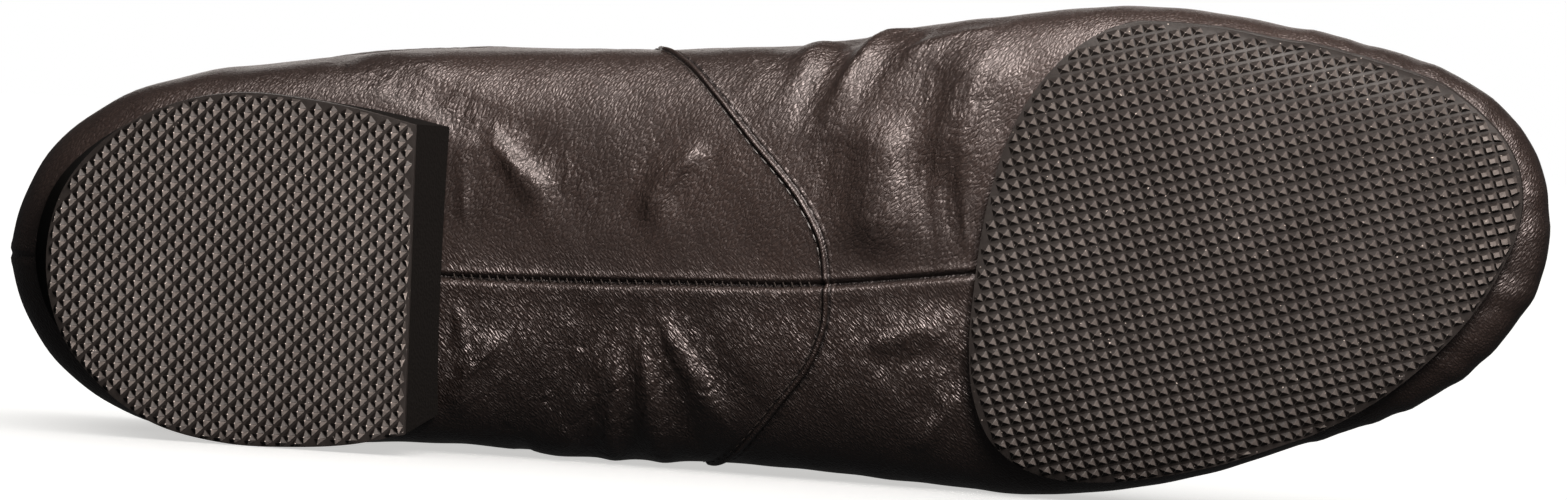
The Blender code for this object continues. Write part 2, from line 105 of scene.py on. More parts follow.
# Sections between the pivots, as shares of the length, the ball width, the heel height and the instep height
Section = namedtuple("Section", "place spine lateral medial under widest top line corner crown")
SECTIONS = (
    Section(0.143, -0.002, 0.379, 0.388, 0.99, 0.37, 1.25, 0.77, 0.84, 0.62),
    Section(0.221, 0.007, 0.378, 0.426, 1.00, 0.38, 1.25, 0.72, 0.84, 0.62),
    Section(0.300, 0.021, 0.368, 0.456, 0.98, 0.39, 1.22, 0.71, 0.76, 0.62),
    Section(0.375, 0.024, 0.385, 0.462, 0.84, 0.37, 1.15, 0.76, 0.66, 0.60),
    Section(0.457, 0.021, 0.390, 0.465, 0.62, 0.34, 1.05, 0.89, 0.64, 0.58),
    Section(0.536, 0.016, 0.405, 0.479, 0.41, 0.30, 0.93, 1.12, 0.66, 0.56),
    Section(0.614, -0.007, 0.448, 0.502, 0.25, 0.26, 0.79, 1.20, 0.72, 0.54),
    Section(0.679, -0.030, 0.482, 0.508, 0.195, 0.22, 0.68, 1.20, 0.78, 0.54),
    Section(0.736, -0.058, 0.491, 0.495, 0.19, 0.20, 0.59, 1.20, 0.80, 0.55),
    Section(0.793, -0.090, 0.484, 0.452, 0.21, 0.195, 0.52, 1.20, 0.80, 0.57),
    Section(0.850, -0.115, 0.446, 0.394, 0.27, 0.195, 0.455, 1.20, 0.80, 0.60),
)

# Sections that turn round a pivot, from square to the side (0) to the end of the shoe (90 degrees)
Fan = namedtuple("Fan", "turn lateral medial widest line spring corner crown")
HEEL_FAN = (
    Fan(0, 0.379, 0.388, 0.37, 0.77, 0.0, 0.84, 0.62),
    Fan(15, 0.381, 0.382, 0.37, 0.775, 0.0, 0.84, 0.62),
    Fan(30, 0.393, 0.394, 0.37, 0.785, 0.0, 0.83, 0.62),
    Fan(45, 0.411, 0.411, 0.38, 0.80, 0.0, 0.82, 0.62),
    Fan(60, 0.433, 0.433, 0.38, 0.815, 0.0, 0.81, 0.62),
    Fan(75, 0.450, 0.448, 0.38, 0.83, 0.0, 0.80, 0.62),
    Fan(90, 0.463, 0.463, 0.38, 0.835, 0.0, 0.80, 0.62),
)
TOE_FAN = (
    Fan(0, 0.446, 0.394, 0.195, 1.2, 0.0, 0.80, 0.60),
    Fan(15, 0.425, 0.383, 0.195, 1.2, 0.0, 0.80, 0.61),
    Fan(30, 0.427, 0.394, 0.195, 1.2, 0.03, 0.80, 0.62),
    Fan(45, 0.439, 0.425, 0.195, 1.2, 0.07, 0.79, 0.64),
    Fan(60, 0.457, 0.460, 0.195, 1.2, 0.12, 0.78, 0.66),
    Fan(75, 0.479, 0.482, 0.195, 1.2, 0.16, 0.77, 0.67),
    Fan(90, 0.485, 0.485, 0.195, 1.2, 0.18, 0.77, 0.67),
)

# Outlines of the two treads seen from below, as shares of the length and of the ball width
Spot = namedtuple("Spot", "along across")
HEEL_OUTLINE = (
    Spot(0.287, -0.306),
    Spot(0.256, -0.333),
    Spot(0.217, -0.357),
    Spot(0.172, -0.368),
    Spot(0.129, -0.343),
    Spot(0.089, -0.277),
    Spot(0.0586, -0.167),
    Spot(0.0468, -0.012),
    Spot(0.0557, 0.130),
    Spot(0.0796, 0.234),
    Spot(0.111, 0.309),
    Spot(0.162, 0.355),
    Spot(0.204, 0.361),
    Spot(0.245, 0.353),
    Spot(0.279, 0.331),
)
FOREFOOT_OUTLINE = (
    Spot(0.640, 0.137),
    Spot(0.643, 0.020),
    Spot(0.654, -0.190),
    Spot(0.664, -0.290),
    Spot(0.680, -0.388),
    Spot(0.701, -0.465),
    Spot(0.726, -0.515),
    Spot(0.762, -0.538),
    Spot(0.802, -0.538),
    Spot(0.834, -0.527),
    Spot(0.869, -0.504),
    Spot(0.898, -0.472),
    Spot(0.922, -0.435),
    Spot(0.942, -0.394),
    Spot(0.959, -0.350),
    Spot(0.973, -0.300),
    Spot(0.982, -0.243),
    Spot(0.985, -0.180),
    Spot(0.982, -0.110),
    Spot(0.973, -0.040),
    Spot(0.957, 0.045),
    Spot(0.930, 0.143),
    Spot(0.896, 0.232),
    Spot(0.858, 0.300),
    Spot(0.815, 0.352),
    Spot(0.770, 0.388),
    Spot(0.722, 0.408),
    Spot(0.693, 0.403),
    Spot(0.670, 0.377),
    Spot(0.653, 0.326),
    Spot(0.643, 0.245),
)
BLOCK_REAR = 0.025
BLOCK_BREAST = 0.298
BLOCK_WAIST = 0.94

# The seam across the arch: how far along the shoe it lies at each share of the way round the section
Bend = namedtuple("Bend", "around lateral medial")
ARCH_SEAM = (
    Bend(0.0, 0.547, 0.547),
    Bend(0.1, 0.5455, 0.543),
    Bend(0.2, 0.538, 0.530),
    Bend(0.4, 0.513, 0.4965),
    Bend(0.6, 0.492, 0.470),
    Bend(0.8, 0.475, 0.449),
    Bend(1.0, 0.459, 0.430),
    Bend(1.15, 0.446, 0.417),
    Bend(1.3, 0.433, 0.405),
    Bend(1.7, 0.405, 0.380),
)

# Folds of the soft leather, given in millimetres from the heel's back and from the middle line, y to the
# lateral side: start, middle and end of each, then how far it climbs the side beyond its end.
# rise is its height, below 0 for a trough, and width how broad it is.
Fold = namedtuple("Fold", "x0 y0 x1 y1 x2 y2 climb rise width")
FOLDS = (
    # Front edge of the stiff counter, a trough that runs down into the waist
    Fold(54, -39, 68, -34, 84, -28, 0, -0.8, 3),
    Fold(76, -32, 91, -25, 103, -19, 0, -1.19, 3.2),
    Fold(93, -26, 104, -17, 111, -4, 0, -1.1, 4.4),
    Fold(57, -41, 68, -38, 86, -33, 0, 0.35, 3.6),
    Fold(84, -24, 94, -20, 103, -10, 0, 0.7, 3.2),
    # Fine wrinkles beside the heel's breast
    Fold(87, -25, 91, -20, 94, -14, 0, -0.45, 1.1),
    Fold(89, -26, 93, -22, 97, -15, 0, 0.35, 1.2),
    Fold(85, -24, 86, -15, 86, -6, 0, 0.3, 1.1),
    Fold(85, 5, 86, 15, 86, 25, 0, 0.35, 1.1),
    # Soft ridge and hollow in the middle of the waist
    Fold(133, -22, 124, -17, 120, -7, 0, 0.94, 2.3),
    Fold(128, -27, 118, -18, 115, -7, 0, -0.94, 2.9),
    Fold(138, -24, 130, -18, 127, -8, 0, -0.5, 3.2),
    # Fan of folds that spreads from the seam over the lateral half of the waist
    Fold(84, 29, 87, 19, 95, 11, 0, 0.7, 2.7),
    Fold(114, 6, 104, 20, 89, 35, 0, -0.94, 3.9),
    Fold(115, 8, 109, 22, 99, 37, 0, 0.77, 3.2),
    Fold(116, 6, 111, 22, 106, 37, 0, -0.7, 2),
    Fold(116, 9, 113, 24, 111, 38, 3, 0.6, 2.1),
    Fold(118, 5, 116, 22, 115, 38, 3, -0.85, 1.8),
    Fold(119, 8, 120, 24, 121, 38, 3, 0.7, 2.4),
    Fold(119, 5, 124, 20, 129, 34, 0, -0.68, 2),
    Fold(121, 6, 128, 18, 136, 31, 0, 0.68, 2.7),
    Fold(123, 4, 132, 15, 141, 27, 0, -0.6, 2.1),
    Fold(94, 31, 95, 35, 95, 38, 5, -0.5, 1.5),
    # Deep folds where the vamp bends on the medial side
    Fold(159, -45, 152, -36, 147, -24, 6, -1.53, 2.8),
    Fold(165, -45, 157, -37, 152, -26, 8, 1.02, 2.2),
    Fold(169, -43, 162, -36, 156, -27, 6, -0.77, 1.6),
    Fold(184, -44, 173, -42, 162, -37, 0, 0.77, 2.4),
    Fold(188, -46, 178, -44, 167, -41, 0, -0.4, 2.3),
    Fold(149, -45, 149, -40, 146, -34, 6, 0.68, 3.2),
    Fold(142, -44, 143, -38, 142, -32, 5, -0.5, 2.7),
    # Broad swells of the vamp
    Fold(163, -31, 163, -17, 161, -2, 0, 1.4, 6.4),
    Fold(184, -43, 178, -32, 174, -16, 0, 1.2, 5.8),
    Fold(172, -40, 170, -26, 168, -10, 0, -0.94, 3.7),
    Fold(154, -26, 153, -17, 151, -8, 0, -0.77, 3.9),
    # Wrinkles along the rear edge of the forefoot sole
    Fold(178, -28, 175, -18, 177, -6, 0, -0.6, 1.3),
    Fold(174, -27, 171, -16, 173, -5, 0, -0.4, 1.2),
    Fold(180, -22, 178, -12, 179, -3, 0, 0.4, 1.1),
    Fold(160, 14, 167, 10, 176, 9, 0, 0.5, 2.2),
    Fold(161, 18, 169, 14, 177, 14, 0, -0.35, 1.8),
    Fold(170, 26, 175, 19, 178, 12, 0, -0.5, 1.7),
    Fold(167, 32, 173, 25, 177, 17, 0, 0.4, 2),
)

# Creases over the top of the vamp: millimetres along the shoe on the middle line, rise and width
Flex = namedtuple("Flex", "along rise width")
FLEXES = (
    Flex(164, -0.5, 2.0),
    Flex(176, -0.7, 2.2),
    Flex(182, 0.4, 2.4),
    Flex(190, -0.6, 2.0),
    Flex(203, -0.35, 1.8),
)

# Waffle of each tread: pitch in millimetres and the angles of its two families of grooves' normals
Waffle = namedtuple("Waffle", "pitch first second")
HEEL_WAFFLE = Waffle(2.05, 46.8, -39.5)
FOREFOOT_WAFFLE = Waffle(2.03, 78.2, -17.4)
# Half a stud's width as a share of the pitch, across its first and its second groove: the first is wider
STUD_SHARES = (0.41, 0.48)
STUD_CHAMFER = 0.07
# A stud's flat crown as a share of its foot, and how much more of it is worn away at the very toe
CROWN = 0.11
TOE_WEAR = 0.45

# Dust and painted highlight on a stud's facets, from 0 for clean black rubber to 1 for grey: the two facets
# and the chamfer that face the way the foot pushes off are buffed and dusty, and also painted lighter as if
# lit from that side; the rest stay dark
Dust = namedtuple("Dust", "front right rear left ridge edge crown")
HEEL_DUST_AND_HIGHLIGHT = Dust(front=0.48, right=0.05, rear=0.0, left=0.05, ridge=1.0, edge=0.06, crown=0.9)
FOREFOOT_DUST_AND_HIGHLIGHT = Dust(front=0.03, right=0.10, rear=0.015, left=0.005, ridge=0.34, edge=0.04, crown=0.16)
BODY_DUST_AND_HIGHLIGHT = 0.02
TREAD_DEPTH = 0.0008

# How finely the pieces are cut
HEEL_STEPS = 34
COLLAR_STEPS = 110
VAMP_STEPS = 110
TOE_STEPS = 46
INNER_ROWS = 22
SIDE_ROWS = 84
RIM_ROWS = 33
# Turns round the section crowded at the middle seam, up to where the even rows begin
SEAM_ROWS = (0, 0.0016, 0.0032, 0.0048, 0.0068, 0.009, 0.012, 0.016, 0.021, 0.028, 0.037)
EVEN_FROM = 0.048
# Rings of the flat pieces, as shares from their middle (0) to their outline (1)
PAD_RINGS = (0.0, 0.5, 0.98, 1.0)
BLOCK_RINGS = (0.0, 0.2, 0.4, 0.55, 0.7, 0.8, 0.88, 0.94, 0.98, 1.0)
SOLE_RINGS = (0.0, 0.12, 0.24, 0.36, 0.46, 0.56, 0.65, 0.73, 0.8, 0.86, 0.91, 0.95, 0.98, 1.0)
PAD_EDGE = 0.1 * MM
BLOCK_EDGE = 0.2 * MM
# Rows of the sock from the spine outward: share of its reach, and of its thickness
SockRow = namedtuple("SockRow", "reach thick")
SOCK_ROWS = (
    SockRow(0.0, 1.0),
    SockRow(0.2, 1.0),
    SockRow(0.4, 1.0),
    SockRow(0.6, 1.0),
    SockRow(0.75, 0.98),
    SockRow(0.86, 0.95),
    SockRow(0.94, 0.9),
    SockRow(0.985, 0.75),
    SockRow(1.0, 0.4),
)


def smooth(at, knots, values):
    """Cubic through the knots with slopes from the neighbours, held level beyond the ends."""
    at = np.clip(at, knots[0], knots[-1])
    slopes = np.gradient(values, knots)
    i = np.clip(np.searchsorted(knots, at, side="right") - 1, 0, len(knots) - 2)
    width = knots[i + 1] - knots[i]
    t = (at - knots[i]) / width
    start = (1 + 2 * t) * (1 - t) ** 2 * values[i] + t * (1 - t) ** 2 * width * slopes[i]
    end = t * t * (3 - 2 * t) * values[i + 1] + t * t * (t - 1) * width * slopes[i + 1]
    return start + end


def column(rows, name):
    """One named column of a table, as an array."""
    return np.array([getattr(row, name) for row in rows])


HEEL_X = HEEL_PIVOT * LENGTH
TOE_X = TOE_PIVOT * LENGTH
HEEL_SWEEP = pi / 2 * HEEL_FAN[0].lateral * BALL_WIDTH
TOE_SWEEP = pi / 2 * TOE_FAN[0].lateral * BALL_WIDTH
STRAIGHT_END = HEEL_SWEEP + TOE_X - HEEL_X
LAST = STRAIGHT_END + TOE_SWEEP


def station_table():
    """The tables' rows in order as knots along the outline, and their columns in metres."""
    heel = HEEL_FAN[:0:-1]
    toe = TOE_FAN[1:]
    between = HEEL_SWEEP + column(SECTIONS, "place") * LENGTH - HEEL_X
    before = (1 - column(heel, "turn") / 90) * HEEL_SWEEP
    beyond = STRAIGHT_END + column(toe, "turn") / 90 * TOE_SWEEP
    all_round = np.concatenate([before, between, beyond])
    table = {}
    for name, size in (("spine", BALL_WIDTH), ("under", HEEL_HEIGHT), ("top", INSTEP_HEIGHT)):
        table[name] = between, column(SECTIONS, name) * size
    sizes = {"lateral": BALL_WIDTH, "medial": BALL_WIDTH, "widest": INSTEP_HEIGHT, "line": INSTEP_HEIGHT}
    for name, size in (sizes | {"corner": 1, "crown": 1}).items():
        values = np.concatenate([column(heel, name), column(SECTIONS, name), column(toe, name)])
        table[name] = all_round, values * size
    table["spring"] = np.append(STRAIGHT_END, beyond), column(TOE_FAN, "spring") * HEEL_HEIGHT
    return table


TABLE = station_table()


def slope(name):
    """Rise of a height per metre along the shoe at the toe pivot, which the toe fan carries on."""
    step = 0.001
    low, high = smooth(np.array([STRAIGHT_END - step, STRAIGHT_END]), *TABLE[name])
    return (high - low) / step


UNDER_SLOPE = slope("under")
TOP_SLOPE = slope("top")


def station(side, s):
    """What defines the section at station s on one side (1 lateral, -1 medial)."""
    s = np.clip(np.asarray(s, float), 0, LAST)
    side = np.broadcast_to(side, s.shape)
    got = {name: smooth(s, knots, values) for name, (knots, values) in TABLE.items()}
    got["reach"] = np.where(side > 0, got["lateral"], got["medial"])
    heel_turn = np.clip(1 - s / HEEL_SWEEP, 0, 1) * pi / 2
    toe_turn = np.clip((s - STRAIGHT_END) / TOE_SWEEP, 0, 1) * pi / 2
    got["x"] = np.clip(HEEL_X + s - HEEL_SWEEP, HEEL_X, TOE_X)
    got["ahead"] = np.sin(toe_turn) - np.sin(heel_turn)
    got["aside"] = side * np.cos(toe_turn) * np.cos(heel_turn)
    got["under_lean"] = UNDER_SLOPE * np.sin(toe_turn) * got["corner"] * got["reach"] + got["spring"]
    got["top_lean"] = TOP_SLOPE * np.sin(toe_turn) * got["crown"] * got["reach"]
    return got


def bezier(t, a, b, c, d):
    """Cubic curve at t from 0 to 1, from a to d, drawn towards b and c."""
    return a * (1 - t) ** 3 + 3 * b * t * (1 - t) ** 2 + 3 * c * t * t * (1 - t) + d * t**3


def surface(side, s, around):
    """The last's face: two cubics a section, from the spine below (0) past the widest point (1) to the
    top (2)."""
    at = station(side, s)
    around = np.asarray(around, float)
    low = np.clip(around, 0, 1)
    high = np.clip(around - 1, 0, 1)
    corner, crown = at["corner"], at["crown"]
    under, widest, top = at["under"], at["widest"], at["top"]
    out_low = bezier(low, 0, corner, 1, 1)
    up_low = bezier(low, under, under + at["under_lean"], widest - corner * (widest - under), widest)
    out_high = bezier(high, 1, 1, crown, 0)
    up_high = bezier(high, widest, widest + crown * (top - widest), top + at["top_lean"], top)
    out = np.where(around <= 1, out_low, out_high) * at["reach"]
    x = at["x"] + at["ahead"] * out
    y = at["spine"] + at["aside"] * out
    return np.stack([x, y, np.where(around <= 1, up_low, up_high)], axis=-1)


def unit(vectors):
    """Vectors brought to a length of 1."""
    return vectors / np.linalg.norm(vectors, axis=-1, keepdims=True)


def normal(side, s, around):
    """Outward direction of the face, the cross product of its two slopes."""
    step = 1e-4
    around = np.clip(around, 2 - NEAR_TOP, NEAR_TOP)
    along = surface(side, s + step, around) - surface(side, s - step, around)
    up = surface(side, s, around + step) - surface(side, s, around - step)
    return unit(np.cross(along, up) * -np.reshape(side * np.ones(np.shape(s)), np.shape(s) + (1,)))


def bisect(function, target, low, high):
    """Where a rising function meets the target, for whole arrays."""
    low = np.full(np.shape(target), low, float)
    high = np.full(np.shape(target), high, float)
    for _ in range(32):
        middle = (low + high) / 2
        under = function(middle) < target
        low = np.where(under, middle, low)
        high = np.where(under, high, middle)
    return (low + high) / 2


def rim_around(side, s):
    """How far round the section the topline cuts it, 2 where the vamp is closed."""
    line = station(side, s)["line"]
    return bisect(lambda around: surface(side, s, around)[..., 2], line, 1, 2)


def polar(x, y):
    """Side, station and distance from the spine of points of the ground, and their foot on the spine."""
    s = HEEL_SWEEP + np.clip(x, HEEL_X, TOE_X) - HEEL_X
    foot = np.stack([np.clip(x, HEEL_X, TOE_X), smooth(s, *TABLE["spine"])], axis=-1)
    ahead, aside = x - foot[..., 0], y - foot[..., 1]
    side = np.where(aside >= 0, 1.0, -1.0)
    turn = np.arctan2(np.abs(ahead), np.abs(aside) + 1e-12) / (pi / 2)
    s = np.where(x < HEEL_X, (1 - turn) * HEEL_SWEEP, s)
    s = np.where(x > TOE_X, STRAIGHT_END + turn * TOE_SWEEP, s)
    return side, s, np.hypot(ahead, aside), foot


def underside(x, y):
    """Height of the last's face over a point of the ground inside the outline."""
    side, s, out, _ = polar(np.asarray(x, float), np.asarray(y, float))
    at = station(side, s)
    share = np.clip(out / at["reach"], 0, 0.999)
    around = bisect(lambda t: bezier(t, 0, at["corner"], 1, 1), share, 0, 1)
    return surface(side, s, around)[..., 2]


def held_in(outline, most):
    """An outline drawn in to a share of the upper's own reach wherever it passes it."""
    side, s, out, foot = polar(outline[:, 0], outline[:, 1])
    limit = station(side, s)["reach"] * most
    keep = np.minimum(1, limit / out)[:, None]
    return foot + (outline - foot) * keep


def below(x, y, depth):
    """Height of a face that lies a depth under the last's own, square to it."""
    step = 2e-4
    lean = (underside(x + step, y) - underside(x - step, y)) / (2 * step)
    tilt = (underside(x, y + step) - underside(x, y - step)) / (2 * step)
    return underside(x, y) - depth * np.sqrt(1 + lean**2 + tilt**2)


def throat():
    """Station where the topline closes over the vamp."""
    s = np.linspace(HEEL_SWEEP, STRAIGHT_END, 4001)
    at = station(1, s)
    return s[np.argmax(at["line"] >= at["top"])]


THROAT = throat()


def curve_through(spots, count, closed=False):
    """Evenly spaced points on a smooth curve through the spots."""
    points = np.array([(spot.along * LENGTH, spot.across * BALL_WIDTH) for spot in spots])
    if closed:
        points = np.concatenate([points[-3:], points, points[:3]])
    lengths = np.concatenate([[0], np.cumsum(np.hypot(*np.diff(points, axis=0).T))])
    first, last = (lengths[3], lengths[-3]) if closed else (0, lengths[-1])
    at = np.linspace(first, last, count + 1 if closed else count)
    curve = np.stack([smooth(at, lengths, points[:, 0]), smooth(at, lengths, points[:, 1])], axis=-1)
    return curve[:-1] if closed else curve


def heel_outline(count=200, breast=40):
    """Outline of the heel's pad, closed by a straight breast of so many points."""
    curve = curve_through(HEEL_OUTLINE, count)
    straight = curve[-1] + (curve[0] - curve[-1]) * np.linspace(0, 1, breast + 2)[1:-1, None]
    return np.concatenate([curve, straight])


def forefoot_outline(count=300):
    """Outline of the forefoot's sole, held inside the upper's own."""
    return held_in(curve_through(FOREFOOT_OUTLINE, count, closed=True), SOLE_REACH)


def inside_by(points, outline):
    """How far each point of the ground lies inside a closed outline, below 0 outside it."""
    start, end = outline, np.roll(outline, -1, axis=0)
    edge = end - start
    found = np.full(len(points), np.inf)
    crossings = np.zeros(len(points), int)
    for a, b, e in zip(start, end, edge):
        t = np.clip(((points - a) @ e) / (e @ e + 1e-18), 0, 1)
        near = np.hypot(*(points - a - t[:, None] * e).T)
        found = np.minimum(found, near)
        spans = (a[1] > points[:, 1]) != (b[1] > points[:, 1])
        meets = a[0] + (points[:, 1] - a[1]) * e[0] / (e[1] if e[1] else 1e-18)
        crossings += spans & (points[:, 0] < meets)
    return np.where(crossings % 2 == 1, found, -found)


# Zones of fine wrinkles: millimetres along and across, their radius, and how wrinkled they are
Zone = namedtuple("Zone", "x y radius amount")
ZONES = (
    Zone(172, -20, 13, 0.8),
    Zone(177, -4, 8, 0.6),
    Zone(171, 13, 9, 0.7),
    Zone(152, -36, 14, 0.7),
    Zone(172, -42, 10, 0.6),
    Zone(110, 26, 16, 0.55),
    Zone(128, 24, 12, 0.45),
    Zone(89, -20, 8, 0.5),
    Zone(87, 20, 10, 0.45),
    Zone(70, -35, 9, 0.2),
    Zone(122, -15, 8, 0.35),
)


def ease(t):
    """Smooth step from 0 to 1."""
    t = np.clip(t, 0, 1)
    return t * t * (3 - 2 * t)


def lengths_along(path):
    """How far along a path of points each of them lies."""
    return np.concatenate([[0], np.cumsum(np.linalg.norm(np.diff(path, axis=0), axis=1))])


def fold_path(fold, count=12):
    """A parabola through the fold's three places, set on the last's face and carried up the side."""
    t = np.linspace(0, 1, count)[:, None]
    start, middle, end = np.array(fold[:6]).reshape(3, 2) * MM
    flat = start * (1 - t) * (1 - 2 * t) + middle * 4 * t * (1 - t) + end * t * (2 * t - 1)
    path = np.column_stack([flat, underside(flat[:, 0], flat[:, 1])])
    if fold.climb:
        outer = np.argmax(np.abs(path[[0, -1], 1]))
        top = path[0 if outer == 0 else -1] + np.array([0, 0, fold.climb * MM])
        path = np.vstack([top, path]) if outer == 0 else np.vstack([path, top])
    return path


def fold_relief(points):
    """Height of the folds over points of the face: a bell across each path that eases off at its ends."""
    height = np.zeros(len(points))
    crease = np.zeros(len(points))
    for fold in FOLDS:
        path = fold_path(fold)
        lengths = lengths_along(path)
        reach = 3 * fold.width * MM
        near = np.all((points > path.min(axis=0) - reach) & (points < path.max(axis=0) + reach), axis=1)
        if not near.any():
            continue
        some = points[near]
        best = np.full(len(some), np.inf)
        place = np.zeros(len(some))
        for a, b, start in zip(path[:-1], path[1:], lengths[:-1]):
            e = b - a
            t = np.clip(((some - a) @ e) / (e @ e), 0, 1)
            gap = np.linalg.norm(some - a - t[:, None] * e, axis=1)
            closer = gap < best
            best = np.where(closer, gap, best)
            place = np.where(closer, start + t * np.linalg.norm(e), place)
        share = place / lengths[-1]
        hump = bell(best, fold.width * MM) * ease(share / 0.3) * ease((1 - share) / 0.3)
        height[near] += fold.rise * MM * hump
        crease[near] = np.maximum(crease[near], hump * min(1, abs(fold.rise) * 1.6))
    return height, crease


def swell(points):
    """Slow unevenness of soft leather: a sum of five long waves in different directions."""
    x, y, z = points.T / MM
    waves = (
        np.sin(0.21 * x + 0.13 * y + 0.07 * z + 1.0)
        + np.sin(-0.12 * x + 0.24 * y + 0.16 * z + 2.1)
        + np.sin(0.33 * x - 0.18 * y + 0.22 * z + 0.4)
        + 0.7 * np.sin(0.47 * x + 0.39 * y - 0.31 * z + 5.0)
        + 0.6 * np.sin(-0.58 * x + 0.44 * y + 0.36 * z + 3.3)
    )
    return waves * 0.05 * MM


# The deepest that a fold goes in, less than the wall, so that it stays off the lining
DEEPEST = 1.25 * MM


def bell(off, width):
    """A soft hump of height 1 about nought."""
    return np.exp(-((off / width) ** 2))


def relief(points, around, looks):
    """How far the leather stands off the last, how creased it is there, and how far into a seam's groove,
    which sets the groove's painted shade, for points of the face."""
    x, y = points[:, 0], points[:, 1]
    spine = smooth(HEEL_SWEEP + np.clip(x, HEEL_X, TOE_X) - HEEL_X, *TABLE["spine"])
    height, crease = fold_relief(points)
    for zone in ZONES:
        near = np.hypot(x - zone.x * MM, y - zone.y * MM)
        crease = np.maximum(crease, zone.amount * bell(near, zone.radius * MM) * np.where(around < 1.3, 1, 0))
    over = ease((around - 1.15) / 0.35)
    bow = 5 * MM * (1 - ((y - spine) / (0.45 * BALL_WIDTH)) ** 2)
    for flex in FLEXES:
        line = bell(x - flex.along * MM - bow, flex.width * MM) * over
        height += flex.rise * MM * line
        crease = np.maximum(crease, line * 0.8)
    height = (height + swell(points) * (1 - ease((around - 1.5) / 0.3))) * looks.fold_depth
    # Puckers where the leather is gathered under the toe: a wave in the direction seen from the toe's pivot
    bearing = np.arctan2(y - spine, x - TOE_X + 1e-9)
    gather = np.sin(26 * bearing) + 0.7 * np.sin(41 * bearing + 1.3)
    rim_band = ease((around - 0.45) / 0.15) * ease((1.15 - around) / 0.3)
    height += 0.16 * MM * gather * rim_band * ease((x - TOE_X + 6 * MM) / (14 * MM))
    # The seam down the middle of the waist: a groove between two rolled lips, the lateral one broader
    off = (y - spine) / MM
    seam = -0.95 * bell(off, 0.5) + 0.2 * bell(off + 1.1, 0.5)
    seam += 0.4 * ease(off / 1.2) * bell(np.maximum(off - 1.2, 0), 2.4)
    underneath = np.where(around < 0.5, 1, 0)
    # The back seam, from the heel seat up to the collar
    back = -0.35 * bell(off, 0.5) + 0.12 * bell(np.abs(off) - 1.3, 0.7)
    behind = ease((HEEL_X - 12 * MM - x) / (10 * MM)) * ease((around - 0.45) / 0.1)
    # Under the two treads the leather lies flat
    flat = points[:, :2]
    low = around < 1.0
    shown = np.ones(len(points))
    for outline in (heel_outline(60, 8), forefoot_outline(80)):
        deep = np.full(len(points), -1.0)
        deep[low] = inside_by(flat[low], outline)
        shown *= ease((0.4 * MM - deep) / (1.6 * MM))
    # Painted shade along the grooves of the middle and back seams, kept for the leather's colour
    groove = np.maximum(bell(off, 0.42) * underneath * shown, 0.6 * bell(off, 0.45) * behind)
    height = (height + seam * MM * underneath) * shown + back * MM * behind
    height = np.where(height < 0, DEEPEST * np.tanh(height / DEEPEST), height)
    return height, crease * shown, groove


def grid_faces(rows, columns, flip=False, close=False):
    """Quads of a grid whose points are stored row by row. close joins the last column to the first."""
    i, j = np.meshgrid(np.arange(rows - 1), np.arange(columns if close else columns - 1), indexing="ij")
    k = (j + 1) % columns
    quads = np.stack([i * columns + j, i * columns + k, (i + 1) * columns + k, (i + 1) * columns + j], -1)
    quads = quads.reshape(-1, 4)
    return quads[:, ::-1] if flip else quads


def laid(points):
    """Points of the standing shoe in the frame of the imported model, where it lies on its side."""
    turn = Euler((SETTLE_ROLL, SETTLE_YAW, 0)).to_matrix() @ Matrix.Rotation(ON_SIDE, 3, "X")
    return np.asarray(points) @ np.array(turn).T + np.array(MOVED)


def put(name, data):
    """An object of the scene for a mesh, lamp or camera."""
    item = bpy.data.objects.new(name, data)
    bpy.context.scene.collection.objects.link(item)
    return item


def piece(
    name, points, faces, made, weld=0.0, recalculate=False, slots=None, values=None, dust=None, sharp=40
):
    """A finished mesh object at the origin. made is its material, or one a slot; slots are the faces' own
    ones. values are named numbers kept on its points for the materials, and dust is one number a face, for
    dust and painted highlight. weld joins points nearer than that, recalculate turns the faces outward, and
    sharp is in degrees."""
    mesh = bpy.data.meshes.new(name)
    mesh.from_pydata(laid(points).tolist(), [], faces if isinstance(faces, list) else faces.tolist())
    kept = [(key, "POINT", numbers) for key, numbers in (values or {}).items()]
    if dust is not None:
        kept.append(("dust", "FACE", dust))
    for key, domain, numbers in kept:
        mesh.attributes.new(key, "FLOAT", domain).data.foreach_set("value", np.asarray(numbers, np.float32))
    for one in made if isinstance(made, list) else [made]:
        mesh.materials.append(one)
    if slots is not None:
        mesh.polygons.foreach_set("material_index", np.asarray(slots, np.int32))
    if weld or recalculate:
        cage = bmesh.new()
        cage.from_mesh(mesh)
        if weld:
            bmesh.ops.remove_doubles(cage, verts=cage.verts, dist=weld)
            bmesh.ops.dissolve_degenerate(cage, edges=cage.edges, dist=1e-7)
        if recalculate:
            bmesh.ops.recalc_face_normals(cage, faces=cage.faces)
        cage.to_mesh(mesh)
        cage.free()
    mesh.validate()
    mesh.shade_smooth()
    mesh.set_sharp_from_angle(angle=radians(sharp))
    item = put(name, mesh)
    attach(item, "root")
    return item


# Materials


def linear(hexed):
    """sRGB hex to the linear colour that a shader takes."""
    values = np.array([int(hexed[i : i + 2], 16) for i in (1, 3, 5)]) / 255
    return tuple(np.where(values <= 0.04045, values / 12.92, ((values + 0.055) / 1.055) ** 2.4))


def give(tree, node, **inputs):
    """Sets a node's sockets, by name or _number, each to a link or a value."""
    for key, value in inputs.items():
        socket = node.inputs[int(key[1:]) if key[0] == "_" else key.replace("_", " ")]
        if isinstance(value, bpy.types.NodeSocket):
            tree.links.new(value, socket)
        else:
            socket.default_value = value


def add(tree, kind, settings=None, **inputs):
    """Adds a shader node of a kind. settings are its own, and inputs are for its sockets."""
    node = tree.nodes.new("ShaderNode" + kind)
    for key, value in (settings or {}).items():
        setattr(node, key, value)
    give(tree, node, **inputs)
    return node


def new_material(name):
    """A new material with its tree, its shader and the object's own coordinates."""
    made = bpy.data.materials.new(name)
    made.use_nodes = True
    tree = made.node_tree
    return made, tree, tree.nodes["Principled BSDF"], add(tree, "TexCoord").outputs["Object"]


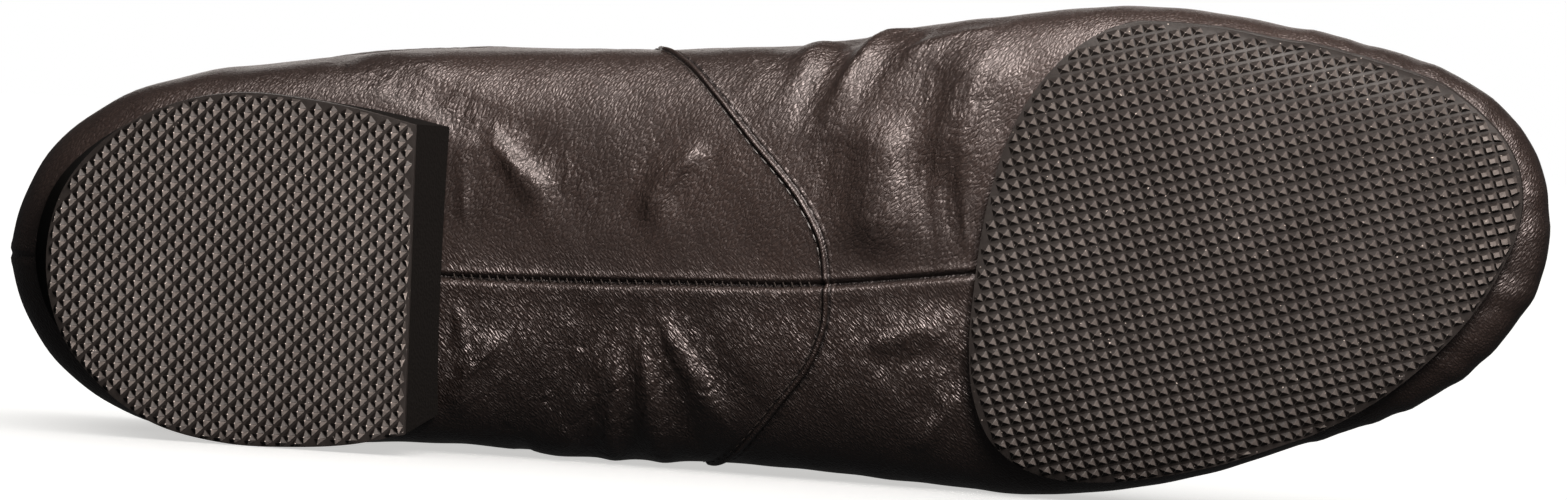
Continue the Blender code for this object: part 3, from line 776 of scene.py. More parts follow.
def ramp(tree, value, low, high, start=0.0, end=1.0):
    """A value carried from between low and high to between start and end, and held there."""
    node = add(tree, "MapRange", Value=value, _1=low, _2=high, _3=start, _4=end)
    return node.outputs["Result"]


def blend(tree, share, first, second):
    """One colour over another by a share."""
    node = add(tree, "Mix", {"data_type": "RGBA"}, _0=share)
    for place, value in ((6, first), (7, second)):
        if isinstance(value, bpy.types.NodeSocket):
            tree.links.new(value, node.inputs[place])
        else:
            node.inputs[place].default_value = (*value, 1)
    return node.outputs[2]


def noise(tree, place, scale, detail):
    """Cloudy noise, so many lumps a metre."""
    return add(tree, "TexNoise", Vector=place, Scale=scale, Detail=detail).outputs[0]


def maths(tree, operation, first, second):
    """Two numbers brought together by an operation."""
    return add(tree, "Math", {"operation": operation}, _0=first, _1=second).outputs[0]


def kept_number(tree, name):
    """A number that the mesh keeps on its points or faces."""
    return add(tree, "Attribute", {"attribute_name": name}).outputs["Fac"]


def bump(tree, height, distance, strength, **under):
    """A bump of a depth in metres, over another one where Normal names it."""
    return add(tree, "Bump", Strength=strength, Distance=distance, Height=height, **under).outputs[0]


def dimmed(colour, share):
    """A colour brought down, or up, by a share."""
    return tuple(value * share for value in colour)


# Leather: how its pebbles and its wrinkles slant over the sole, and how deep each layer of its grain is
LOWER_SLANT = radians(-48)
UPPER_SLANT = radians(52)
WRINKLE_SLANT = radians(62)
WRINKLE_DEPTH = 0.0012
PEBBLE_DEPTH = 0.00018
PORE_DEPTH = 0.0001


def pebble_grain(tree, place, pitch, slant):
    """Pebbles drawn out along a slant over the sole: high in the middle of each, nought in the lines
    between them."""
    turned = add(tree, "Mapping", Vector=place, Rotation=(0.0, slant, 0.0)).outputs[0]
    drawn = add(tree, "Mapping", Vector=turned, Scale=(0.42, 1.0, 1.2)).outputs[0]
    cells = add(tree, "TexVoronoi", {"feature": "DISTANCE_TO_EDGE"}, Vector=drawn, Scale=1 / pitch)
    return ramp(tree, cells.outputs["Distance"], 0.0, 0.32)


def leather(name, colour, looks, creased=True):
    """Full-grain garment leather, drum-dyed near black and lightly waxed: a fine pebble that breaks the gloss
    into small sparks, with longer wrinkles where it has been bent. Its lower, lateral half carries painted
    shade, a darker base colour, and its grain runs the other way. The lines between the pebbles and the
    seams' grooves are darkened with painted shade too."""
    made, tree, shader, place = new_material(name)
    pitch = looks.grain_pitch
    drift = add(tree, "TexNoise", Vector=place, Scale=1 / 0.004, Detail=2.0).outputs["Color"]
    shift = add(tree, "VectorMath", {"operation": "SCALE"}, _0=drift, Scale=0.0009).outputs[0]
    moved = add(tree, "VectorMath", {"operation": "ADD"}, _0=place, _1=shift).outputs[0]
    height = add(tree, "SeparateXYZ", Vector=moved).outputs[2]
    upper_half = ramp(tree, height, 0.034, 0.043)
    low_grain = pebble_grain(tree, moved, pitch, LOWER_SLANT)
    high_grain = pebble_grain(tree, moved, pitch, UPPER_SLANT)
    pebbles = add(tree, "Mix", {"data_type": "FLOAT"}, _0=upper_half, _2=low_grain, _3=high_grain).outputs[0]
    pores = noise(tree, moved, 1 / (0.6 * pitch), 2.0)
    aside = add(tree, "Mapping", Vector=moved, Rotation=(0.0, WRINKLE_SLANT, 0.0)).outputs[0]
    drawn = add(tree, "Mapping", Vector=aside, Scale=(0.3, 1.0, 1.0)).outputs[0]
    wrinkle = add(tree, "TexNoise", Vector=drawn, Scale=1 / 0.003, Detail=3.0, Roughness=0.55, Distortion=0.6)
    # Uneven dye, then painted shade, each darker: the lines between the pebbles, the lower half and the
    # seams' grooves
    cloud = ramp(tree, noise(tree, place, 38.0, 3.0), 0.35, 0.68)
    base = blend(tree, cloud, dimmed(colour, 0.72), dimmed(colour, 1.18))
    # Painted shade in the low lines between the pebbles
    base = blend(tree, ramp(tree, pebbles, 0.0, 0.7, 0.6, 0.0), base, dimmed(colour, 0.3))
    # Painted shade: the base colour grows darker towards the lower, lateral half
    base = blend(tree, ramp(tree, height, 0.006, 0.038, 0.85, 0.0), base, dimmed(colour, 0.3))
    # Painted shade in the seams' grooves
    base = blend(tree, kept_number(tree, "groove"), base, dimmed(colour, 0.12))
    # Wax left uneven over the pores, and more of it worn off the upper half
    level = looks.leather_roughness
    rough = ramp(tree, pores, 0.3, 0.7, level - 0.08, level + 0.08)
    rough = maths(tree, "ADD", rough, ramp(tree, height, 0.026, 0.038, 0.02, 0.08))
    amount = ramp(tree, kept_number(tree, "crease"), 0.0, 1.0, 0.12, 1.0) if creased else 0.2
    folds = maths(tree, "MULTIPLY", wrinkle.outputs[0], amount)
    grain = maths(tree, "MULTIPLY", pebbles, ramp(tree, height, 0.026, 0.038, 0.5, 0.42))
    face = bump(tree, folds, WRINKLE_DEPTH, 1.0)
    face = bump(tree, grain, PEBBLE_DEPTH, 1.0, Normal=face)
    face = bump(tree, pores, PORE_DEPTH, 0.3, Normal=face)
    give(tree, shader, Base_Color=base, Roughness=rough, Normal=face)
    give(tree, shader, Specular_IOR_Level=0.5, Specular_Tint=(1.0, 0.89, 0.88, 1))
    give(tree, shader, Coat_Weight=0.1, Coat_Roughness=0.3)
    return made


def rubber(looks):
    """Moulded black rubber, dulled by dust: dark and matt in its grooves, greyer and softly glossy on its
    facets, with a few pale specks of lint. The facets and ridges turned one way are painted paler as well, a
    painted highlight as if lit from that side."""
    made, tree, shader, place = new_material("moulded_rubber")
    colour = tuple(looks.rubber_colour)
    patch = noise(tree, place, 60.0, 4.0)
    uneven = ramp(tree, noise(tree, place, 1 / 0.0009, 2.0), 0.25, 0.6, 0.55, 1.0)
    # Dust with painted highlight: facets and ridges turned one way get the paler colour
    dust = maths(tree, "MULTIPLY", kept_number(tree, "dust"), uneven)
    base = blend(tree, dust, colour, tuple(looks.dust_and_highlight_colour))
    base = blend(tree, ramp(tree, patch, 0.35, 0.7, 0.25, 0.0), base, colour)
    base = blend(tree, ramp(tree, noise(tree, place, 1 / 0.0006, 1.0), 0.76, 0.80), base, linear("#8c837e"))
    face = bump(tree, noise(tree, place, 1 / 0.00035, 2.0), 0.00006, 0.3)
    give(tree, shader, Base_Color=base, Roughness=ramp(tree, patch, 0.3, 0.7, 0.42, 0.55), Normal=face)
    give(tree, shader, Specular_IOR_Level=0.16)
    return made


def foam(looks):
    """Cut black EVA foam: dead matt, with the fine pits of its open cells, darkened with painted shade."""
    made, tree, shader, place = new_material("cut_foam")
    colour = tuple(looks.foam_colour)
    cells = add(tree, "TexVoronoi", Vector=place, Scale=1 / 0.0006).outputs["Distance"]
    # Painted shade: the base colour is darker in the pits of the cells
    base = blend(tree, ramp(tree, cells, 0.0, 0.6), dimmed(colour, 0.6), colour)
    give(tree, shader, Base_Color=base, Normal=bump(tree, cells, 0.00015, 0.6))
    give(tree, shader, Roughness=0.95, Specular_IOR_Level=0.06)
    return made


def cloth(name, colour, thread):
    """Brushed cotton lining: a plain weave of two crossed families of threads, with a soft nap. The dips
    between the threads are darkened with painted shade.
    """
    made, tree, shader, place = new_material(name)
    weave = []
    for axis in (0, 2):
        split = add(tree, "SeparateXYZ", Vector=place).outputs[axis]
        turns = maths(tree, "MULTIPLY", split, 2 * pi / thread)
        weave.append(maths(tree, "SINE", turns, 0.0))
    level = maths(tree, "ADD", maths(tree, "MULTIPLY", *weave), noise(tree, place, 900.0, 3.0))
    # Painted shade: darker where the weave dips between threads
    base = blend(tree, ramp(tree, level, -0.8, 1.6), dimmed(colour, 0.55), colour)
    give(tree, shader, Base_Color=base, Normal=bump(tree, level, 0.00012, 0.5))
    give(tree, shader, Roughness=0.9, Sheen_Weight=0.25, Sheen_Roughness=0.6)
    return made


def thread_material(looks):
    """Bonded polyester thread: black, with a painted sheen of lighter bands along its twist."""
    made, tree, shader, place = new_material("bonded_thread")
    colour = tuple(looks.thread_colour)
    twist = add(tree, "TexWave", {"bands_direction": "DIAGONAL"}, Vector=place, Scale=1 / 0.0006)
    # Painted sheen: bands along the twist lighter than the rest
    base = blend(tree, twist.outputs["Fac"], dimmed(colour, 0.6), colour)
    give(tree, shader, Base_Color=base, Roughness=0.45)
    return made


def seamless(colour):
    """Matt white studio paper lit from all round: pale, with no gloss and soft shadows."""
    made, tree, shader, _ = new_material("studio_paper")
    give(tree, shader, Base_Color=(*colour, 1), Roughness=1.0, Specular_IOR_Level=0.0)
    give(tree, shader, Emission_Color=(*colour, 1), Emission_Strength=0.62)
    return made


MATERIALS = {}
# Width of a pair of threads of each cloth
LINING_WEAVE = 0.0011
SOCK_WEAVE = 0.0014


def finish_of(name, looks):
    """The material of a finish, made once."""
    if name not in MATERIALS:
        hide = tuple(looks.leather_colour)
        makers = {
            "upper": lambda: leather("garment_leather", hide, looks),
            "seam": lambda: leather("rolled_leather", hide, looks, creased=False),
            "binding": lambda: leather("binding_leather", hide, looks, creased=False),
            "rubber": lambda: rubber(looks),
            "foam": lambda: foam(looks),
            "lining": lambda: cloth("cotton_lining", tuple(looks.lining_colour), LINING_WEAVE),
            "insole": lambda: cloth("brushed_insole", tuple(looks.insole_colour), SOCK_WEAVE),
            "thread": lambda: thread_material(looks),
        }
        MATERIALS[name] = makers[name]()
    return MATERIALS[name]


# Shapes


def stations():
    """Stations of one side, crowded at the back seam and where the collar's front end rounds off."""
    heel = HEEL_SWEEP * np.linspace(0, 1, HEEL_STEPS + 1) ** 1.5
    turn = np.linspace(0, 1, COLLAR_STEPS + 1)[1:]
    collar = HEEL_SWEEP + (THROAT - HEEL_SWEEP) * (1 - (1 - turn) ** 1.5)
    vamp = np.linspace(THROAT, STRAIGHT_END, VAMP_STEPS + 1)[1:]
    toe = np.linspace(STRAIGHT_END, LAST, TOE_STEPS + 1)[1:]
    return np.concatenate([heel, collar, vamp, toe])


def dressed(side, s, around, looks):
    """The leather's outer face: the last's face moved out along its normal by the relief, and the crease."""
    points = surface(side, s, around)
    out = normal(side, s, around)
    flat = np.broadcast_to(around, s.shape).reshape(-1)
    height, crease, groove = relief(points.reshape(-1, 3), flat, looks)
    marks = np.stack([crease, groove], axis=-1).reshape(s.shape + (2,))
    return points + out * height.reshape(s.shape + (1,)), out, marks


def build_upper(looks):
    """Outer face, rim and lining as one closed shell: a grid of stations by rows that run out from the
    middle seam, up the side to the rim, over it and back down the inside."""
    s = stations()
    low = np.concatenate([SEAM_ROWS, np.linspace(EVEN_FROM, 1, SIDE_ROWS)])
    high = np.linspace(0, 1, RIM_ROWS)[1:]
    parts, slots, kept = [], [], []
    for side in (1, -1):
        rim = rim_around(side, s)
        under_rim = np.broadcast_to(low, (len(s), len(low)))
        outer = np.concatenate([under_rim, 1 + high[None, :] * (rim - 1)[:, None]], axis=1)
        inner = rim[:, None] * np.linspace(1, 0, INNER_ROWS)[None, :]
        face, _, marks = dressed(side, s[:, None] + 0 * outer, outer, looks)
        along = s[:, None] + 0 * inner
        back = surface(side, along, inner) - normal(side, along, inner) * WALL
        grid = np.concatenate([face, back], axis=1)
        quads = grid_faces(*grid.shape[:2], flip=side < 0)
        row = quads % grid.shape[1]
        first = quads // grid.shape[1]
        # No face closes the rim where the vamp itself is closed
        over_rim = (row.min(axis=1) == outer.shape[1] - 1) & (row.max(axis=1) == outer.shape[1])
        closed = (rim[first] > 1.9999).all(axis=1)
        keep = ~(over_rim & closed)
        parts.append((grid.reshape(-1, 3), quads[keep]))
        slots.append((row.min(axis=1) >= outer.shape[1])[keep].astype(int))
        kept.append(np.concatenate([marks, np.zeros(inner.shape + (2,))], axis=1).reshape(-1, 2))
    crease, groove = np.concatenate(kept).T
    points, faces = joined(parts)
    made = [finish_of("upper", looks), finish_of("lining", looks)]
    # groove carries the painted shade of the seams' grooves
    values = {"crease": crease, "groove": groove}
    slots = np.concatenate(slots)
    return piece("upper_leather", points, faces, made, weld=1.5e-5, slots=slots, values=values, sharp=60)


def plate(low, high, under, over, shares, edge=0.0):
    """Points and faces of a closed plate between two outlines, each filled in rings towards its middle.
    edge rounds its two corners off."""
    rings = [(low, share, under, 0.0) for share in shares]
    rings[-1] = (low, 1.0, under, edge)
    rings += [(high, 1.0, over, -edge)] + [(high, share, over, 0.0) for share in shares[-2::-1]]
    points = []
    for outline, share, height, lift in rings:
        middle = outline.mean(axis=0)
        flat = middle + (outline - middle) * share
        points.append(np.column_stack([flat, height(flat[:, 0], flat[:, 1]) + lift]))
    return np.concatenate(points), grid_faces(len(rings), len(low), close=True)


def studs(waffle, outline, ground, depth, dust):
    """Four-sided studs with chamfered edges on a slanting grid. A grid cell is (u, v) carried to the ground
    by the inverse of the two groove directions; its corners are drawn inside the outline and its crown lies
    on the ground face. Crowns are worn broader towards the toe. Each facet has its own share of dust and
    painted highlight."""
    pitch = waffle.pitch * MM
    angles = np.radians([waffle.first, waffle.second])
    directions = np.column_stack([np.cos(angles), np.sin(angles)]) / pitch
    back = np.linalg.inv(directions)
    corners = outline @ directions.T
    low, high = np.floor(corners.min(axis=0)) - 1, np.ceil(corners.max(axis=0)) + 1
    u, v = np.meshgrid(np.arange(low[0], high[0]), np.arange(low[1], high[1]), indexing="ij")
    cells = np.stack([u.ravel(), v.ravel()], axis=-1) + 0.5
    middles = cells @ back.T
    middles = middles[inside_by(middles, outline) > 0.12 * pitch]
    square = np.array([(-1, -1), (1, -1), (1, 1), (-1, 1)]) * STUD_SHARES
    base = middles[:, None, :] + (square @ back.T)[None]
    # Corners outside the pad or at its very edge go to the nearest place of a line just inside it
    flat = base.reshape(-1, 2)
    margin = inside_by(flat, outline)
    middle = outline.mean(axis=0)
    inner = outline + (middle - outline) * (0.3 * MM / np.linalg.norm(outline - middle, axis=1)[:, None])
    outside = margin < 0.25 * MM
    nearest = np.argmin(((flat[outside][:, None, :] - inner[None]) ** 2).sum(axis=-1), axis=1)
    flat[outside] = inner[nearest]
    base = flat.reshape(base.shape)
    centre = base.mean(axis=1, keepdims=True)
    worn = CROWN + TOE_WEAR * ease((middles[:, 0] - 0.93 * LENGTH) / (0.05 * LENGTH))
    ends = base[:, [0, 0, 1, 1, 2, 2, 3, 3]]
    towards = base[:, [3, 1, 0, 2, 1, 3, 2, 0]]
    base = ends + (towards - ends) * STUD_CHAMFER
    crown = centre + (base - centre) * worn[:, None, None]
    ring = []
    for plan, lift in ((base, depth * 1.08), (crown, 0.0)):
        height = ground(plan[..., 0].ravel(), plan[..., 1].ravel()).reshape(plan.shape[:2]) + lift
        ring.append(np.concatenate([plan, height[..., None]], axis=-1))
    points = np.concatenate(ring, axis=1).reshape(-1, 3)
    sides = [(i, (i + 1) % 8, 8 + (i + 1) % 8, 8 + i) for i in range(8)]
    caps = [(8, 9, 10, 11), (8, 11, 12, 15), (12, 13, 14, 15), (3, 2, 1, 0), (7, 4, 3, 0), (7, 6, 5, 4)]
    one = np.array(sides + caps)
    faces = (one[None] + 16 * np.arange(len(middles))[:, None, None]).reshape(-1, 4)
    facets = ("edge", "left", "ridge", "front", "edge", "right", "edge", "rear")
    # Each facet's share of dust and painted highlight, the paler ones standing for the lit side
    dusty_and_lit = [getattr(dust, facet) for facet in facets] + [dust.crown] * 3 + [0.0] * 3
    return points, faces, np.tile(dusty_and_lit, len(middles))


def joined(parts):
    """Points and faces of several meshes put in one."""
    points, faces, start = [], [], 0
    for more, quads in parts:
        points.append(more)
        faces.append(np.asarray(quads) + start)
        start += len(more)
    return np.concatenate(points), np.concatenate(faces)


def tread(name, body, waffle, looks):
    """A pad's body and its studs in one mesh, with the dust and painted highlight of each facet kept on its
    faces.
    """
    points, faces = joined([body, waffle[:2]])
    dust = np.concatenate([np.full(len(body[1]), BODY_DUST_AND_HIGHLIGHT), waffle[2]])
    return piece(name, points, faces, finish_of("rubber", looks), recalculate=True, sharp=20, dust=dust)


def build_heel(looks):
    """Foam block between the pad's outline and the wider seat, and the rubber pad with its waffle."""
    foot = heel_outline()
    front, rear = foot[:, 0].max(), foot[:, 0].min()
    grow = (BLOCK_BREAST - BLOCK_REAR) * LENGTH / (front - rear)
    middle = foot[:, 1].mean()
    along = BLOCK_BREAST * LENGTH - (front - foot[:, 0]) * grow
    seat = np.column_stack([along, middle + (foot[:, 1] - middle) * BLOCK_WAIST])
    level = lambda height: lambda x, y: np.full(np.shape(x), height)
    under_seat = lambda x, y: below(x, y, 2 * GAP)
    points, faces = plate(foot, seat, level(PAD + GAP), under_seat, BLOCK_RINGS, BLOCK_EDGE)
    block = piece("heel_lift", points, faces, finish_of("foam", looks), weld=1e-7, recalculate=True)
    depth = looks.tread_depth
    body = plate(foot, foot, level(depth), level(PAD), PAD_RINGS, PAD_EDGE)
    pad = tread("heel_tread", body, studs(HEEL_WAFFLE, foot, level(0.0), depth, HEEL_DUST_AND_HIGHLIGHT), looks)
    return block, pad


def build_forefoot(looks):
    """The forefoot's rubber sole follows the last, flat where it meets the ground, with its waffle."""
    outline = forefoot_outline()
    depth = looks.tread_depth
    ground = lambda x, y: np.maximum(0, below(x, y, GLUE_LINE + FOREFOOT))
    glued = lambda x, y: below(x, y, GLUE_LINE)
    body = plate(outline, outline, lambda x, y: ground(x, y) + depth, glued, SOLE_RINGS, PAD_EDGE)
    waffle = studs(FOREFOOT_WAFFLE, outline, ground, depth, FOREFOOT_DUST_AND_HIGHLIGHT)
    return tread("forefoot_tread", body, waffle, looks)


def walk(side, s, around, direction, distance):
    """The station and turn reached by going a distance over the face in a direction."""
    step = 1e-5
    here = surface(side, s, around)
    along = (surface(side, s + step, around) - here) / step
    rise = np.where(np.asarray(around) < 1, step, -step)
    up = (surface(side, s, around + rise) - here) / rise[:, None]
    wanted = direction * distance
    a, b, c = (along * along).sum(-1), (along * up).sum(-1), (up * up).sum(-1)
    p, q = (along * wanted).sum(-1), (up * wanted).sum(-1)
    det = a * c - b * b
    return s + (p * c - q * b) / det, around + (a * q - b * p) / det


def stepped(side, s, around, direction, distance, looks):
    """The leather's face and its normal, a distance over the face from a path."""
    at_s, at_around = walk(side, s, around, direction, distance)
    return dressed(side, at_s, np.clip(at_around, 0, NEAR_TOP), looks)[:2]


def arch_path(side, count):
    """Station and turn of evenly spaced places on the seam across the arch, from the spine to the binding,
    and how far along it they lie."""
    places = column(ARCH_SEAM, "medial" if side < 0 else "lateral") * LENGTH
    around = np.linspace(0, 1.7, 800)
    s = HEEL_SWEEP + smooth(around, column(ARCH_SEAM, "around"), places) - HEEL_X
    inside = around < rim_around(side, s) - 0.13
    around, s = around[inside], s[inside]
    lengths = lengths_along(surface(side, s, around))
    at = np.linspace(0, lengths[-1], count)
    return np.interp(at, lengths, s), np.interp(at, lengths, around), at


def across_path(side, s, around):
    """Direction over the face square to a path, towards the toe."""
    ahead = unit(np.gradient(surface(side, s, around), axis=0))
    across = np.cross(ahead, normal(side, s, around))
    return across * np.sign(across[:, :1])


# Profile of the seam across the arch: millimetres across it, to the toe, its height over the leather and how
# dark its painted shade is there
Step = namedtuple("Step", "across rise dark")
SEAM_PROFILE = (
    Step(-1.3, 0.03, 0.0),
    Step(-0.95, 0.05, 0.3),
    Step(-0.66, 0.02, 1.0),
    Step(-0.46, 0.18, 0.9),
    Step(-0.38, 0.42, 0.2),
    Step(-0.22, 0.62, 0.0),
    Step(0.0, 0.70, 0.0),
    Step(0.22, 0.62, 0.0),
    Step(0.38, 0.42, 0.2),
    Step(0.46, 0.18, 0.9),
    Step(0.66, 0.02, 1.0),
    Step(0.86, 0.03, 0.9),
    Step(1.1, 0.06, 0.2),
    Step(1.5, 0.03, 0.0),
)
# How far the foot of that profile stays over the leather, in millimetres
SEAM_FOOT = 0.01
STITCH_PITCH = 0.0024


def build_arch_seam(looks):
    """A profile carried along the arch: a rolled bead between two grooves, its toe-side ply puckered by a
    wave of the stitch pitch. The profile's foot closes it just over the leather."""
    rings, darkness = [], []
    foot = [Step(across, SEAM_FOOT, 1.0) for across in (1.35, 0.0, -1.3)]
    for side in (-1, 1):
        s, around, at = arch_path(side, 300)
        across = across_path(side, s, around)
        pucker = 0.5 + 0.5 * np.cos(2 * pi * at / STITCH_PITCH)
        columns, groove_shade = [], []
        for step in [*SEAM_PROFILE, *foot]:
            face, out = stepped(side, s, around, across, step.across * MM, looks)
            puckered = pucker if 0.8 < step.across < 1.2 else np.zeros(len(s))
            columns.append(face + out * ((step.rise + 0.12 * puckered) * MM)[:, None])
            # Painted shade in the grooves beside the bead, a little less on the puckers
            groove_shade.append(step.dark * (1 - 0.35 * puckered))
        strip, dark = np.stack(columns, axis=1), np.stack(groove_shade, axis=1)
        rings.append(strip[::-1] if side < 0 else strip[1:])
        darkness.append(dark[::-1] if side < 0 else dark[1:])
    rings = np.concatenate(rings)
    faces = grid_faces(*rings.shape[:2], close=True).tolist()
    last = rings.shape[0] * rings.shape[1]
    faces.append(tuple(range(rings.shape[1])))
    faces.append(tuple(range(last - rings.shape[1], last))[::-1])
    values = {"groove": np.concatenate(darkness).ravel()}
    finish = finish_of("seam", looks)
    return piece("arch_bead", rings.reshape(-1, 3), faces, finish, recalculate=True, values=values, sharp=50)


def topline():
    """Rim of the collar, from the back along the lateral side to the throat and home on the medial side."""
    s = stations()
    s = s[s <= THROAT + 1e-9]
    parts = []
    for side, order in ((1, s), (-1, s[::-1][1:-1])):
        around = rim_around(side, order)
        parts.append(np.column_stack([np.full(len(order), side), order, around]))
    return np.concatenate(parts)


def rim_frame():
    """Rim points as side, station and turn, with their downward direction over the face."""
    side, s, around = topline().T
    edge = surface(side, s, around)
    ahead = unit(np.roll(edge, -1, axis=0) - np.roll(edge, 1, axis=0))
    down = unit(np.cross(normal(side, s, np.minimum(around, NEAR_TOP)), ahead))
    return side, s, around, down * np.where(down[:, 2:] > 0, -1, 1)


# How much thinner the folded band is pressed than its solid
PRESSED = 0.0002


def build_binding(looks):
    """A band folded over the rim: at each rim point the profile goes down the outside, round the turned
    lower edge, back up, over a rounded top and down the inside."""
    side, s, around, down = rim_frame()
    # How far down the face each leg of the profile stands, as a share of the band's depth, and how full
    # the band is there: it is pressed thin along its lower edge
    fullness = {1.0: 0.55, 0.82: 0.95, 0.5: 0.92, 0.2: 1.0, 0.0: 1.0}
    legs = [stepped(side, s, around, down, share * BINDING_DEPTH, looks) for share in fullness]
    near, thick = BAND_GAP, BINDING - PRESSED
    full = [near + thick * share for share in fullness.values()]
    columns = [face + out * off for (face, out), off in zip(legs, full)]
    face, out = legs[-1]
    centre = face - out * WALL / 2
    half = WALL / 2 + near + thick
    for angle in (30, 60, 90, 120, 150):
        turn = radians(angle)
        columns.append(centre + out * half * np.cos(turn) - down * (near + thick) * np.sin(turn))
    columns += [face - out * (WALL + off) for (face, out), off in zip(legs[::-1], full[::-1])]
    columns += [face - out * (WALL + near) for face, out in legs]
    columns.append(centre - out * (WALL / 2 + near) - down * near)
    columns.append(centre + out * (WALL / 2 + near) - down * near)
    columns += [face + out * near for face, out in legs[::-1]]
    rings = np.stack(columns, axis=1)
    faces = grid_faces(len(rings) + 1, rings.shape[1], close=True) % (len(rings) * rings.shape[1])
    finish = finish_of("binding", looks)
    return piece("collar_band", rings.reshape(-1, 3), faces, finish, recalculate=True, sharp=60)


def build_insole(looks):
    """The sock: a sheet over the wall's inner face, thicker in the middle than at its edge."""
    s = stations()[::2]
    shares = column(SOCK_ROWS, "reach") * INSOLE_REACH
    thick = INSOLE * column(SOCK_ROWS, "thick")
    parts = []
    for side in (1, -1):
        at = station(side, s)
        out = shares[None, :] * at["reach"][:, None]
        x = at["x"][:, None] + at["ahead"][:, None] * out
        y = at["spine"][:, None] + at["aside"][:, None] * out
        foot = underside(x, y) + WALL + 2 * GAP
        head = np.stack([x, y, foot + thick[None, :]], axis=-1)
        grid = np.concatenate([np.stack([x, y, foot], axis=-1), head[:, ::-1]], axis=1)
        parts.append((grid.reshape(-1, 3), grid_faces(*grid.shape[:2], flip=side < 0)))
    points, faces = joined(parts)
    sock = piece("sock_pad", points, faces, finish_of("insole", looks), weld=1e-6, recalculate=True, sharp=60)
    return sock


def capsules(start, end, thick):
    """Short threads: a five-sided tube between two points that tapers at both ends."""
    ahead = unit(end - start)
    helper = np.where(np.abs(ahead[:, 2:]) < 0.8, np.array([[0, 0, 1.0]]), np.array([[1.0, 0, 0]]))
    first = unit(np.cross(ahead, helper))
    second = np.cross(ahead, first)
    sides = 5
    angles = (np.arange(sides) * 2 * pi / sides)[None, :, None]
    circle = np.cos(angles) * first[:, None, :] + np.sin(angles) * second[:, None, :]
    girths = {0.0: 0.25, 0.12: 0.85, 0.5: 1.0, 0.88: 0.85, 1.0: 0.25}
    middles = [(start + (end - start) * share)[:, None, :] for share in girths]
    rings = [middle + thick / 2 * girth * circle for middle, girth in zip(middles, girths.values())]
    points = np.concatenate(rings, axis=1).reshape(-1, 3)
    last = (len(girths) - 1) * sides
    offsets = len(girths) * sides * np.arange(len(start))[:, None, None]
    faces = (grid_faces(len(girths), sides, close=True)[None] + offsets).reshape(-1, 4).tolist()
    caps = np.array([range(sides)[::-1], range(last, last + sides)])
    return points, faces + (caps[None] + offsets).reshape(-1, sides).tolist()


# Threads: how far apart in metres, how long and how thick
Thread = namedtuple("Thread", "pitch length thick")
COLLAR_THREAD = Thread(0.0030, 0.0021, 0.00045)
ARCH_THREAD = Thread(STITCH_PITCH, 0.0015, 0.00028)
MIDDLE_THREAD = Thread(0.0016, 0.0004, 0.00024)
# Where the rows lie: down the band as a share of its depth, beside the bead in millimetres to the toe, and
# from the heel's breast to the forefoot's sole along the middle seam
COLLAR_ROW = 0.74
ARCH_ROW = -0.84
MIDDLE_ROW = (0.0845, 0.1515)


def build_stitches(looks):
    """Rows of threads: on the collar's band, beside the arch's bead and over the middle seam's groove."""
    side, s, around, down = rim_frame()
    face, out = stepped(side, s, around, down, COLLAR_ROW * BINDING_DEPTH, looks)
    line = face + out * (BAND_GAP + BINDING - 0.00035)
    rows = [spaced(np.vstack([line, line[:1]]), COLLAR_THREAD)]
    for side in (-1, 1):
        s, around, _ = arch_path(side, 300)
        face, out = stepped(side, s, around, across_path(side, s, around), ARCH_ROW * MM, looks)
        rows.append(spaced((face + out * 0.14 * MM)[8:], ARCH_THREAD))
    x = np.arange(*MIDDLE_ROW, MIDDLE_THREAD.pitch)
    s = HEEL_SWEEP + x - HEEL_X
    ends = []
    for side in (-1.0, 1.0):
        beside = np.full(len(s), 0.0075)
        face, out, _ = dressed(side, s + side * MIDDLE_THREAD.length / 2, beside, looks)
        ends.append(face + out * 0.02 * MM)
    rows.append((*ends, MIDDLE_THREAD.thick))
    points, faces, begin = [], [], 0
    for start, end, thick in rows:
        more, polygons = capsules(start, end, thick)
        points.append(more)
        faces += [tuple(corner + begin for corner in face) for face in polygons]
        begin += len(more)
    finish = finish_of("thread", looks)
    return piece("stitches", np.concatenate(points), faces, finish, recalculate=True, sharp=50)


def spaced(line, thread):
    """Starts and ends of stitches at their pitch along a line of points, and how thick they are."""
    lengths = lengths_along(line)
    count = int(lengths[-1] // thread.pitch)
    at = (np.arange(count) + 0.5) * lengths[-1] / count
    place = lambda t: np.column_stack([np.interp(t, lengths, line[:, k]) for k in range(3)])
    return place(at - thread.length / 2), place(at + thread.length / 2), thread.thick


# Studio

# The photo's view: turned to the toe, raised to the medial side, metres away, and what it looks at
CAMERA_TURN = radians(9)
CAMERA_RISE = radians(5.5)
CAMERA_AWAY = 1.6
AIM = np.array([0.1464416, -0.0054, 0.0])
PIXELS_A_MM = 5.684
FRAME_WIDTH = 1567


def build_camera():
    """The photograph's view: square to the sole but for a slight turn towards the toe and the medial side."""
    level = np.cos(CAMERA_RISE)
    back = np.array([np.sin(CAMERA_TURN) * level, -np.sin(CAMERA_RISE), -np.cos(CAMERA_TURN) * level])
    right = np.array([np.cos(CAMERA_TURN), 0.0, np.sin(CAMERA_TURN)])
    up = np.cross(back, right)
    aim = laid(AIM[None])[0]
    turned = [laid((AIM + axis)[None])[0] - aim for axis in (right, up, back)]
    view = Matrix([[turned[j][i] for j in range(3)] for i in range(3)]).to_4x4()
    view.translation = Vector(aim + turned[2] * CAMERA_AWAY)
    lens = bpy.data.cameras.new("camera")
    lens.sensor_width = 36.0
    lens.lens = PIXELS_A_MM * CAMERA_AWAY / MM * lens.sensor_width / FRAME_WIDTH
    lens.clip_end = 50.0
    camera = put("camera", lens)
    camera.matrix_world = view
    bpy.context.scene.camera = camera


FLOOR_RADIUS = 2.6


